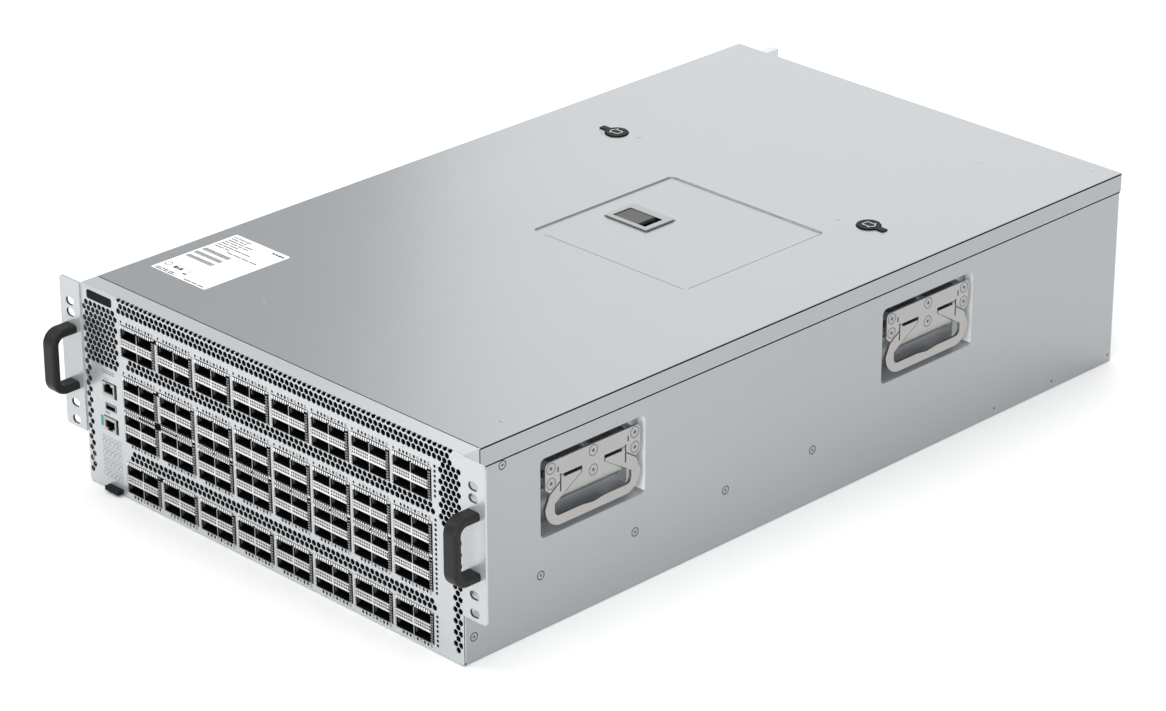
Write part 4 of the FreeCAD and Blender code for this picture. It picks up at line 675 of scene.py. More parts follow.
def refine(node: str, body: str, finish: Finish, edge: float = 0.0,
           smooth: float = 35.0) -> bpy.types.Object:
    """Stands in for a frame node with the same form, shaded smooth, with softened edges.

    Args:
        node: The node.
        body: The body it moves with.
        finish: Its finish.
        edge: Width of the edge rounds in millimetres, or 0 for none.
        smooth: Largest turn, in degrees, that is shaded smooth.

    Returns:
        The object that replaces the node.
    """
    mesh = bmesh.new()
    mesh.from_mesh(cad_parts[node].data)
    bmesh.ops.remove_doubles(mesh, verts=mesh.verts, dist=1e-6)
    bmesh.ops.dissolve_limit(mesh, angle_limit=math.radians(0.4), verts=mesh.verts,
                             edges=mesh.edges, use_dissolve_boundaries=False,
                             delimit={"NORMAL"})
    shade(mesh, smooth)
    piece = show(f"{node}_form", mesh, [finish])
    if edge > 0:
        soft = piece.modifiers.new("soft_edges", "BEVEL")
        soft.width = edge * MM
        soft.segments = 2
        soft.limit_method = "ANGLE"
        soft.angle_limit = math.radians(smooth)
    piece.modifiers.new("flat_faces", "WEIGHTED_NORMAL").keep_sharp = True
    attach(piece, body)
    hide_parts(node)
    return piece


def dress(finish: Finish, *nodes: str) -> None:
    """Gives frame nodes a finish.

    Args:
        finish: The finish.
        nodes: The nodes.
    """
    for node in nodes:
        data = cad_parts[node].data
        data.materials.clear()
        data.materials.append(finish.material())


def mark_faces(data: bpy.types.Mesh, finish: Finish,
               chosen: Callable[[Vector, Vector], bool]) -> None:
    """Gives some faces of a form a finish of their own.

    Args:
        data: The form.
        finish: The further finish.
        chosen: Says from a face's centre, in millimetres, and its normal if it gets it.
    """
    data.materials.append(finish.material())
    for face in data.polygons:
        if chosen(face.center / MM, face.normal):
            face.material_index = len(data.materials) - 1


# ---- front ---------------------------------------------------------------------------


@dataclass
class Ports:
    """The grid of port cages that the front panel, lamps and gaskets follow."""

    columns: int = 8
    pitch: float = 45.2
    first_x: float = -170.9
    width: float = 18.4
    height: float = 8.4
    band: float = 7.2
    divider: float = 1.1
    side: float = 3.0
    face: float = -380.5
    fingers: int = 15

    @property
    def across(self) -> Span:
        """The span of the first opening along X."""
        return self.first_x, self.first_x + 2 * self.width + self.divider

    @property
    def tall(self) -> float:
        """The height of an opening."""
        return 2 * self.height + self.band

    @property
    def pair(self) -> tuple[float, float]:
        """The left edges of the first column's two ports."""
        return self.first_x, self.first_x + self.width + self.divider

    def lefts(self) -> list[float]:
        """Returns the left edge of each column's opening."""
        return steps(self.first_x, self.pitch, self.columns)

    def comb(self, piece: Piece, y: Span, z: Span, finish: int, edge: float) -> None:
        """Adds a line of spring fingers across the first opening.

        Args:
            piece: The piece that takes them.
            y: Where they start and end along Y.
            z: The same along Z.
            finish: Place of their finish.
            edge: Width of their edge rounds.
        """
        pitch = (self.across[1] - self.first_x) / self.fingers
        for x in steps(self.first_x + 0.3, pitch, self.fingers):
            piece.block((x, x + pitch * 0.6), y, z, finish, edge)

    def fill(self, piece: Piece, slot: Slot = Slot.CAGE, smooth: float = 50.0) -> None:
        """Repeats the first column's piece in the others, and hangs it on the chassis."""
        piece.repeat([(self.pitch * column, 0.0, 0.0) for column in range(1, self.columns)])
        piece.ready("chassis_body", smooth)


@dataclass
class FrontPanel:
    """The vented face, with the small vents and lamp holes that the frame's panel leaves out."""

    ports: Ports
    pitch: float = 5.5
    flats: float = 4.6
    face: float = -380.0
    sheet: float = 1.21
    bend_foot: float = 171.4
    pit: Span = (0.2, 0.3)
    strip_rows: tuple[Span, ...] = ((-161.5, 121.9), (-161.5, 42.0))
    strip_holes: int = 64
    bend_first: float = -172.95
    bend_holes: int = 70
    bend_squash: float = 0.72
    lamp_offset: float = 7.3
    lamp_pitch: float = 3.89
    lamp_holes: int = 9
    lamp_heights: tuple[float, ...] = (154.9, 110.5, 48.3, 3.6)
    lamp_squash: Span = (0.9, 1.2)
    lens_places: tuple[int, ...] = (3, 5, 8)
    side_x: float = 190.4
    side_pitch: float = 4.05
    side_runs: tuple[tuple[float, int], ...] = ((130.6, 7), (50.3, 16), (6.2, 7))
    seam_x: Span = (219.2, 219.9)
    figure_heights: tuple[float, ...] = (158.6, 112.9, 45.9, 1.5)
    figure_offsets: Span = (11.0, 30.5)

    @property
    def vent_radius(self) -> float:
        """The radius through a vent's corners."""
        return self.flats / math.sqrt(3)

    def cut_strips(self, cutter: Piece) -> None:
        """Adds the tools for the double rows of vents between the port rows.

        Args:
            cutter: The piece that takes them.
        """
        rise = self.pitch * math.sqrt(3) / 2
        for first, top in self.strip_rows:
            for row in (0, 1):
                for x in steps(first - row * self.pitch / 2, self.pitch, self.strip_holes + row):
                    cutter.rod((x, self.face, top - row * rise), self.vent_radius, 6.0, Axis.Y,
                               sides=6)

    def cut_bend(self, cutter: Piece) -> None:
        """Adds the tools for the row of vents that crosses the top bend.

        Args:
            cutter: The piece that takes them.
        """
        low, high = (Vector(corner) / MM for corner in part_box("front_panel"))
        turned = (Matrix.Rotation(math.radians(-135.0), 4, "X")
                  @ Matrix.Diagonal((1.0, self.bend_squash, 1.0, 1.0)))
        for x in steps(self.bend_first, self.pitch, self.bend_holes):
            place = Matrix.Translation((x, low.y + 0.9, high.z - 0.9)) @ turned
            bmesh.ops.create_cone(cutter.mesh, cap_ends=True, segments=6, depth=7.0,
                                  radius1=self.vent_radius, radius2=self.vent_radius,
                                  matrix=place)

    def cut_lamps(self, cutter: Piece) -> None:
        """Adds the tools for the lamp holes and for the column of holes at the right.

        Args:
            cutter: The piece that takes them.
        """
        holes = []
        for left in self.ports.lefts():
            holes += [(x, z, 1.25, self.lamp_squash) for z in self.lamp_heights
                      for x in steps(left + self.lamp_offset, self.lamp_pitch, self.lamp_holes)]
            holes += [(left + 0.4, z, 1.1, self.lamp_squash) for z in self.lamp_heights[:2]]
        holes += [(self.side_x, z, 1.35, (1.0, 1.0)) for first, count in self.side_runs
                  for z in steps(first, self.side_pitch, count)]
        for x, z, radius, squash in holes:
            cutter.rod((x, self.face, z), radius, 0.5, Axis.Y, sides=8, squash=squash)

    def cut(self) -> None:
        """Cuts the panel and puts it in place of the frame's plainer one."""
        panel = refine("front_panel", "chassis_body", LIT_COAT)
        cutter = Piece("front_cutter")
        for add_tools in (self.cut_strips, self.cut_bend, self.cut_lamps):
            add_tools(cutter)
        bmesh.ops.scale(cutter.mesh, vec=(MM, MM, MM), verts=cutter.mesh.verts)
        tool = show(cutter.name, cutter.mesh, ())
        punch = panel.modifiers.new("punch", "BOOLEAN")
        punch.operation = "DIFFERENCE"
        punch.solver = "EXACT"
        punch.object = tool
        bpy.context.view_layer.update()
        shown = panel.evaluated_get(bpy.context.evaluated_depsgraph_get())
        data = bpy.data.meshes.new_from_object(shown)
        panel.modifiers.clear()
        panel.data = data
        bpy.data.objects.remove(tool)
        # Painted shade: the walls of the vents and lamp holes get the dark finish.
        mark_faces(data, SHADE_DARK, lambda spot, normal: (
            spot.y - self.face < self.sheet and abs(normal.y) < 0.4 and spot.z < self.bend_foot))
        # Painted shade: the floors of the shallow lamp pits get the black, so they look deep.
        mark_faces(data, SHADE_BLACK, lambda spot, normal: (
            self.pit[0] < spot.y - self.face < self.pit[1] and normal.y < -0.9))
        LOG.info("front panel: %d faces", len(data.polygons))

    def seam(self) -> None:
        """Adds a painted shadow line where the panel's right edge meets the ear."""
        piece = Piece("panel_seam", SHADE_BLACK)
        piece.block(self.seam_x, (self.face - 0.03, self.face + 0.1), (0.8, 170.5))
        piece.ready("chassis_body")

    def lenses(self) -> None:
        """Adds the lamp lenses that fill some of the lamp holes."""
        piece = Piece("lamp_lenses", LENS)
        first = self.ports.first_x + self.lamp_offset
        for z in self.lamp_heights:
            for index in self.lens_places:
                piece.rod((first + self.lamp_pitch * index, self.face + 0.25, z), 0.75, 0.3,
                          Axis.Y, sides=8, squash=self.lamp_squash)
        self.ports.fill(piece, Slot.LATCH, 35.0)

    def figures(self) -> None:
        """Prints the port numbers over the lamps."""
        piece = Piece("port_numbers", PALE_INK)
        upright = Matrix.Rotation(math.pi / 2, 4, "X")
        places = [(left + offset, self.face - 0.02, z) for z in self.figure_heights
                  for left in self.ports.lefts() for offset in self.figure_offsets]
        for number, place in enumerate(places, start=1):
            piece.words(str(number), 1.7, Matrix.Translation(place) @ upright, 0.03)
        piece.ready("chassis_body")

    def build(self) -> None:
        """Builds the panel and what is set in it."""
        self.cut()
        self.seam()
        self.lenses()
        self.figures()


@dataclass
class PortRow:
    """The spring fingers, punched bands and side gaskets on one row of cages."""

    ports: Ports
    name: str
    floor: float
    fingered: bool
    band_holes: int = 9
    hole_rise: float = 0.27
    hole_rim: float = 0.34
    gasket_step: float = 2.2
    notch_step: float = 2.1

    def top_fingers(self) -> None:
        """Adds the row of bright spring fingers over the upper ports, with a black backing and a
        black dot of painted shade.
        """
        face = self.ports.face
        low = self.floor + self.ports.tall + 0.15
        z = (low, low + 2.9)
        piece = Piece(f"finger_row_{self.name}", SPRING, SHADE_BLACK)
        self.ports.comb(piece, (face - 0.5, face + 0.5), z, 0, 0.3)
        # Painted shade: a black backing behind the fingers and a black dot.
        piece.block(self.ports.across, (face - 0.05, face + 0.2), z, 1)
        piece.rod((sum(self.ports.across) / 2, face - 0.5, low + 0.5), 0.8, 0.4, Axis.Y, 1, 8)
        self.ports.fill(piece)

    def bands(self) -> None:
        """Adds the punched band between the lower and the upper ports, its pits floored with black
        as painted shade.
        """
        ports = self.ports
        y = (ports.face - 0.35, ports.face + 0.05)
        middle = self.floor + ports.tall / 2
        half = self.band_holes * self.hole_rise
        z = (middle - half, middle + half)
        piece = Piece(f"port_band_{self.name}", BAND_METAL, SHADE_BLACK)
        for x in ports.pair:
            piece.punched((x + 0.15, x + ports.width - 0.15), y, z, self.band_holes, 2,
                          self.hole_rim)
        for sign in (-1, 1):
            piece.block(ports.across, y, (middle + sign * half,
                                          middle + sign * (ports.band / 2 - 0.1)))
        piece.block((ports.first_x + ports.width - 0.15, ports.pair[1] + 0.15), y, z)
        ports.fill(piece, smooth=35.0)

    def gaskets(self) -> None:
        """Adds the grey spring gasket at the right of each cage with a black backing, and the
        notches at its left drawn in black; both are painted shade.
        """
        ports, face, low = self.ports, self.ports.face, self.floor
        left, right = ports.across
        piece = Piece(f"side_gasket_{self.name}", MESH_METAL, SHADE_BLACK)
        piece.block((right + 0.05, right + ports.side), (face - 0.05, face + 0.4),
                    (low, low + ports.tall + 1.5), 1)
        for z in steps(low + 0.4, self.gasket_step, int((ports.tall + 1.0) / self.gasket_step)):
            for x in (right + 0.25, right + 1.65):
                piece.block((x, x + 1.0), (face - 0.5, face), (z, z + 1.3), edge=0.2)
        for z in steps(low + 0.3, self.notch_step, int(ports.tall / self.notch_step)):
            piece.block((left - 0.85, left - 0.15), (face - 0.04, face + 0.1), (z, z + 1.2), 1)
        ports.fill(piece)

    def insides(self) -> None:
        """Adds the spring tabs, dividers and module sockets inside the ports; the tabs, the lips
        under the openings, the dividers and the sockets' slots are dark as painted shade.
        """
        ports, face = self.ports, self.ports.face
        middle = ports.first_x + ports.width
        piece = Piece(f"port_inside_{self.name}", TAB_SHADE, BLACK, SHADE_BLACK)
        for floor in (self.floor, self.floor + ports.height + ports.band):
            roof = floor + ports.height
            for left in ports.pair:
                right = left + ports.width
                for x in ((left, left + 0.5), (right - 0.5, right)):
                    piece.block(x, (face + 1.6, face + 4.6), (floor + 2.0, roof - 2.0), edge=0.2)
                piece.block((left + 1.0, right - 1.0), (face + 38.0, face + 44.0),
                            (floor + 1.2, roof - 1.0), 1)
                piece.block((left + 2.4, right - 2.4), (face + 37.9, face + 38.1),
                            (floor + 3.4, floor + 4.8), 2)
                # A dark lip of painted shade under each opening.
                piece.block((left, right), (face - 0.03, face + 0.2), (floor - 0.28, floor + 0.02))
            # The divider's front edge, black as painted shade.
            piece.block((middle, middle + ports.divider * 0.6), (face - 0.04, face + 0.2),
                        (floor, roof), 1)
        ports.fill(piece)

    def build(self) -> None:
        """Builds all that the row carries."""
        dress(CAGE, f"port_cages_{self.name}")
        if self.fingered:
            self.top_fingers()
        self.bands()
        self.gaskets()
        self.insides()


@dataclass
class RowGasket:
    """The hatched gasket strips between the two middle rows of ports."""

    ports: Ports
    low: float = 74.9
    high: float = 80.5

    def build(self) -> None:
        """Adds two lines of fingers with a strip between them, over each column, with a black
        backing and a black dot of painted shade.
        """
        face, across = self.ports.face, self.ports.across
        half = (self.high - self.low) / 2
        middle = self.low + half
        piece = Piece("middle_gasket", MESH_METAL, SPRING, SHADE_BLACK)
        piece.block(across, (face - 0.1, face + 0.3), (self.low, self.high), 2)
        piece.block(across, (face - 0.2, face), (middle - 0.8, middle + 0.8))
        for base in (self.low + 0.2, middle + 1.1):
            self.ports.comb(piece, (face - 0.45, face), (base, base + half - 1.3), 1, 0.2)
        piece.rod((sum(across) / 2, face - 0.5, middle), 0.75, 0.4, Axis.Y, 2, 8)
        self.ports.fill(piece)


@dataclass
class PortCages:
    """The four rows of cages and the panel in front of them."""

    floors: tuple[tuple[str, float], ...] = (
        ("one", 125.4), ("two", 80.9), ("three", 50.4), ("four", 6.0))

    def build(self) -> None:
        """Dresses the cages and builds what each row carries."""
        ports = Ports()
        for name, floor in self.floors:
            PortRow(ports, name, floor, fingered=name != "three").build()
        RowGasket(ports).build()
        FrontPanel(ports).build()


@dataclass
class ManagementPorts:
    """Contacts, marks and badge of the column of management ports at the left."""

    face: float = -380.0
    jack_x: float = -190.3
    jack_heights: Span = (89.6, 58.8)
    contacts: int = 8
    contact_pitch: float = 1.02
    usb_x: float = -188.8
    usb_z: float = 74.1
    legend: tuple[tuple[float, ...], ...] = ((2.6, 3.4, 2.2, 4.0), (3.8, 2.0, 3.2, 3.0))
    icon_heights: Point = (98.2, 69.3, 67.9)
    map_place: Span = (-201.9, 11.0)
    map_pitch: Span = (4.9, 4.7)
    map_size: tuple[int, int] = (5, 8)
    badge_x: Span = (-211.8, -181.6)
    badge_z: Span = (163.1, 170.5)

    def pins(self) -> None:
        """Adds the gold contacts of the jacks and of the serial port."""
        piece = Piece("jack_contacts", GOLD)
        half = self.contact_pitch * (self.contacts - 1) / 2
        for z, sign in zip(self.jack_heights, (-1.0, 1.0)):
            for x in steps(self.jack_x - half, self.contact_pitch, self.contacts):
                piece.block((x - 0.18, x + 0.18), (self.face + 6.0, self.face + 10.5),
                            (z + sign * 2.9, z + sign * 1.7), edge=0.08)
        for x in steps(self.usb_x - 3.4, 2.3, 4):
            piece.block((x - 0.5, x + 0.5), (self.face + 1.5, self.face + 9.0),
                        (self.usb_z + 0.1, self.usb_z + 0.25))
        piece.ready("chassis_body")

    def print_marks(self) -> None:
        """Prints the plain legend, the teal mark and the map of the ports."""
        piece = Piece("front_marks", INK, TEAL)
        ink = (self.face - 0.03, self.face + 0.1)
        for row, widths in enumerate(self.legend):
            for x in runs(-198.0, widths):
                piece.block(x, ink, (105.0 - 2.0 * row, 105.9 - 2.0 * row))
        for z in self.icon_heights:
            piece.block((-196.5, -190.5), ink, (z - 0.3, z + 0.3))
        piece.block((-202.3, -199.5), (self.face - 0.25, self.face + 0.1), (55.0, 64.0), 1)
        line = 0.36
        for row, low in enumerate(steps(self.map_place[1], self.map_pitch[1], self.map_size[1])):
            shift = 0.8 * (row % 2)
            high = low + 3.9 - shift
            for start in steps(self.map_place[0], self.map_pitch[0], self.map_size[0]):
                left, right = start + shift, start + 4.2
                for z in ((low, low + line), (high - line, high)):
                    piece.block((left + line, right - line), ink, z)
                for x in ((left, left + line), (right - line, right)):
                    piece.block(x, ink, (low + line, high - line))
        piece.ready("chassis_body")

    def badge(self) -> None:
        """Adds the bare black badge over the left vents."""
        piece = Piece("front_badge", GLOSS_BLACK)
        piece.sheet([(x, self.face - 0.5, z) for x, z in around(self.badge_x, self.badge_z)],
                    (0.0, 0.52, 0.0), round_at=1.6)
        piece.ready("chassis_body")

    def build(self) -> None:
        """Builds the column's details and finishes its nodes."""
        self.pins()
        self.print_marks()
        self.badge()
        dress(JACK_SHIELD, "network_jacks", "serial_port")
        dress(PLATED, "port_bracket")
        refine("info_tag", "tag_body", BLACK, edge=0.3)


# ---- top -----------------------------------------------------------------------------


@dataclass
class Label:
    """The white label on the cover, with bars in place of words."""

    x: Span = (-205.0, -139.0)
    y: Span = (-320.3, -230.3)
    top: float = 173.5
    film: float = 0.12
    text: tuple[tuple[float, float, tuple[float, ...]], ...] = (
        (3.0, 84.5, (4.0, 8.0, 6.0)), (3.0, 81.0, (9.0, 5.0, 3.0)),
        (3.0, 77.5, (12.0, 7.0, 9.0)), (3.0, 74.0, (6.0, 8.0, 5.0, 6.0)),
        (3.0, 70.5, (9.0, 10.0)), (3.0, 67.0, (5.0, 13.0, 8.0, 10.0)),
        (3.0, 63.5, (11.0, 6.0)), (22.0, 60.0, (7.0, 9.0, 8.0, 9.0)),
        (3.0, 3.6, (5.0, 8.0, 6.0)), (3.0, 1.2, (9.0, 4.0, 8.0)),
        (38.0, 1.6, (9.0, 6.0, 7.0)))
    codes: Point = (33.4, 42.0, 50.7)
    code_bars: int = 24
    marks: tuple[tuple[Span, Span], ...] = (
        ((13.6, 17.4), (11.0, 15.2)), ((18.0, 19.8), (11.0, 14.2)),
        ((20.4, 23.6), (11.0, 15.2)), ((28.6, 33.4), (8.0, 9.8)),
        ((30.4, 30.9), (12.0, 17.0)), ((32.2, 32.7), (12.0, 17.0)),
        ((49.4, 52.6), (84.0, 86.4)), ((53.2, 56.0), (84.0, 86.4)),
        ((56.6, 60.2), (84.0, 86.4)), ((60.8, 63.4), (84.0, 86.4)))

    def bars(self) -> list[tuple[Span, Span, int]]:
        """Lays out all that is printed in bars.

        Returns:
            Each bar's spans, from the label's front left corner, and the place of its ink.
        """
        bars = [(x, (along, along + 1.5), 1) for left, along, widths in self.text
                for x in runs(left, widths)]
        for index, along in enumerate(self.codes):
            x = 2.4
            for step in range(self.code_bars):
                width = 0.55 + 0.35 * ((step * 7 + index * 5) % 3)
                bars.append(((x, x + width), (along, along + 4.8), 2))
                x += width + 0.3 + 0.14 * ((step * 5 + index) % 3)
        return bars + [(x, y, 2) for x, y in self.marks]

    def build(self) -> None:
        """Builds the film, its bars and a ring."""
        piece = Piece("cover_label", LABEL, INK, DARK_INK)
        piece.sheet([(x, y, self.top - 0.02) for x, y in around(self.x, self.y)],
                    (0.0, 0.0, self.film + 0.02), round_at=1.4)
        left, front, face = self.x[0], self.y[0], self.top + self.film
        for x, y, ink in self.bars():
            piece.block((left + x[0], left + x[1]), (front + y[0], front + y[1]),
                        (face - 0.02, face + 0.02), ink)
        piece.spun(around((2.7, 3.5), (-0.02, 0.02)), (left + 5.8, front + 14.0, face), Axis.Z,
                   2, 24)
        piece.ready("cover_body")


@dataclass
class TopCover:
    """The sliding lid with its latch, its two locks and small pressed marks."""

    top: float = 173.5
    half_width: float = 220.0
    front: float = -362.3
    back: float = 380.0
    foot: float = 157.0
    seam_line: float = 0.9
    press: tuple[float, float, float, float] = (-43.0, 129.0, -53.5, 108.9)
    press_floor: float = 172.3
    latch_rim: tuple[tuple[Span, Span], ...] = (
        ((-24.6, 24.6), (9.2, 10.0)), ((-24.6, 24.6), (43.4, 44.2)),
        ((-24.6, -23.8), (10.0, 43.4)), ((23.8, 24.6), (10.0, 43.4)))
    well_x: Span = (-19.0, 18.0)
    well_y: Span = (14.4, 35.3)
    well_floor: float = 162.3
    lock_x: float = 144.4
    lock_y: float = 145.6
    lock_top: float = 174.7
    lock_radius: float = 10.0
    lock_outline: tuple[Span, ...] = (
        (-4.2, -3.4), (3.2, -3.4), (3.2, -5.4), (6.4, 0.0), (3.2, 5.4), (3.2, 3.4), (-4.2, 3.4))
    scale_radius: float = 13.2
    scale_step: float = 11.0
    dimples: tuple[Span, ...] = ((-123.8, 152.5), (117.8, 137.7))
    dimple: tuple[Span, ...] = ((0.0, -0.02), (2.0, -0.02), (2.6, 0.06), (1.6, 0.28), (0.0, 0.34))
    rivets: tuple[Span, ...] = (
        (69.0, 358.5), (106.2, 366.5), (198.2, 366.5), (119.8, 314.5), (-202.0, 363.0),
        (-89.0, -303.5), (199.0, -319.5))
    rivet: tuple[Span, ...] = ((0.0, -0.02), (2.6, -0.02), (2.3, 0.09), (0.0, 0.12))

    def latch(self) -> None:
        """Softens the latch and lines its well with black as painted shade, with a grey ramp at its
        right end.
        """
        refine("latch_frame", "cover_body", LATCH_GREY, edge=0.45)
        refine("cover_latch", "latch_body", PADDLE_GREY, edge=0.35)
        shade_lining = Piece("latch_well_shade", BLACK, PADDLE_GREY)
        (left, right), (low, high), floor = self.well_x, self.well_y, self.well_floor
        # The black lining is painted shade in the well.
        skin, rim = 0.15, self.press_floor + 1.2
        shade_lining.block((left + skin, right - skin), (low + skin, high - skin),
                    (floor - 0.05, floor + skin))
        shade_lining.block((left - 0.05, left + skin), self.well_y, (floor, rim - 0.6))
        shade_lining.block((right - skin, right + 0.05), self.well_y, (floor, rim))
        for y in ((low - 0.05, low + skin), (high - skin, high + 0.05)):
            shade_lining.block((9.4, right), y, (floor, rim))
        end, near = right - 0.3, low + 0.4
        shade_lining.sheet([(10.6, near, floor), (end, near, floor + 9.6), (end, near, floor)],
                    (0.0, high - low - 0.8, 0.0), finish=1)
        shade_lining.ready("cover_body")

    def lock(self, side: Side) -> None:
        """Softens a lock and adds its outline mark, its shadow ring and its scale.

        Args:
            side: Which of the two locks.
        """
        name, sign = side.name.lower(), side.value
        x = sign * self.lock_x
        head = refine(f"cover_lock_{name}", f"lock_body_{name}", BLACK, edge=0.3)
        for vert in head.data.vertices:
            if vert.co.z > (self.lock_top - 0.05) * MM:
                vert.co.z = (self.lock_top - 0.12) * MM
        mark = Piece(f"lock_mark_{name}", WHITE_INK)
        line = 0.55
        corners = [Vector((x + sign * across, self.lock_y + along, self.lock_top - 0.07))
                   for across, along in self.lock_outline]
        for start, end in zip(corners, corners[1:] + corners[:1]):
            run = end - start
            bmesh.ops.create_cube(mark.mesh, size=1.0, matrix=(
                Matrix.Translation((start + end) / 2)
                @ Matrix.Rotation(math.atan2(run.y, run.x), 4, "Z")
                @ Matrix.Diagonal((run.length + line, line, 0.12, 1.0))))
        mark.ready(f"lock_body_{name}")
        ring = Piece(f"lock_scale_{name}", PALE_INK, SHADE_BLACK)
        # Painted shadow ring round the lock's head, in black; the scale's dots are print.
        ring.spun(around((self.lock_radius, self.lock_radius + 0.7), (-0.05, 0.03)),
                  (x, self.lock_y, self.top), Axis.Z, 1, 40)
        for turn in steps(-90.0 + sign * 12.0, sign * self.scale_step, 5):
            angle = math.radians(turn)
            ring.rod((x + self.scale_radius * math.cos(angle),
                      self.lock_y + self.scale_radius * math.sin(angle), self.top),
                     0.55, 0.08, sides=8)
        ring.ready("cover_body")

    def seams(self) -> None:
        """Adds painted shadow lines where the lid meets the box and under its side skirts, and a
        painted dark reflection along the fold at each side.
        """
        piece = Piece("lid_seams", SHADE_BLACK)
        half, lift = self.half_width, 0.03
        middle = self.front - 0.1
        seam = (middle - self.seam_line / 2, middle + self.seam_line / 2)
        piece.block((1.0 - half, half - 1.0), seam, (self.top - 0.02, self.top + lift))
        for sign in (-1, 1):
            wall = (sign * (half - 0.2), sign * (half + lift))
            piece.block(wall, seam, (self.foot, self.top - 1.0))
            # Painted dark reflection along the bend of the top into the skirt.
            piece.block(wall, (self.front + 0.5, self.back - 1.0), (self.top - 1.7, self.top - 0.4))
            # Painted shadow under the skirt's foot.
            piece.block((sign * (half - 1.28), sign * (half - 0.5)),
                        (self.front + 0.3, self.back - 0.5), (self.foot - 1.3, self.foot + 0.2))
        piece.ready("cover_body")

    def press_lines(self) -> None:
        """Draws the fine shadow along the pressed panel's edges and round the latch."""
        piece = Piece("press_lines", SHADE_DARK)
        left, right, front, back = self.press
        rise = (self.top - 0.1, self.top + 0.02)
        piece.block((left + 14.0, right - 3.0), (front - 0.35, front + 0.15), rise)
        piece.block((right - 0.15, right + 0.35), (front + 3.0, back - 4.0), rise)
        for x, y in self.latch_rim:
            piece.block(x, y, (self.press_floor - 0.1, self.press_floor + 0.05))
        piece.ready("cover_body")

    def small_marks(self) -> None:
        """Adds the pressed dimples and the flush rivets."""
        piece = Piece("cover_marks", GREY_COAT)
        for profile, places in ((self.dimple, self.dimples), (self.rivet, self.rivets)):
            for x, y in places:
                piece.spun(profile, (x, y, self.top), Axis.Z, sides=20)
        piece.ready("cover_body", smooth=50.0)

    def build(self) -> None:
        """Dresses the lid and builds what it carries."""
        refine("top_cover", "cover_body", GREY_COAT, edge=0.4)
        self.latch()
        for side in Side:
            self.lock(side)
        self.seams()
        self.press_lines()
        self.small_marks()
        Label().build()


# ---- sides ---------------------------------------------------------------------------


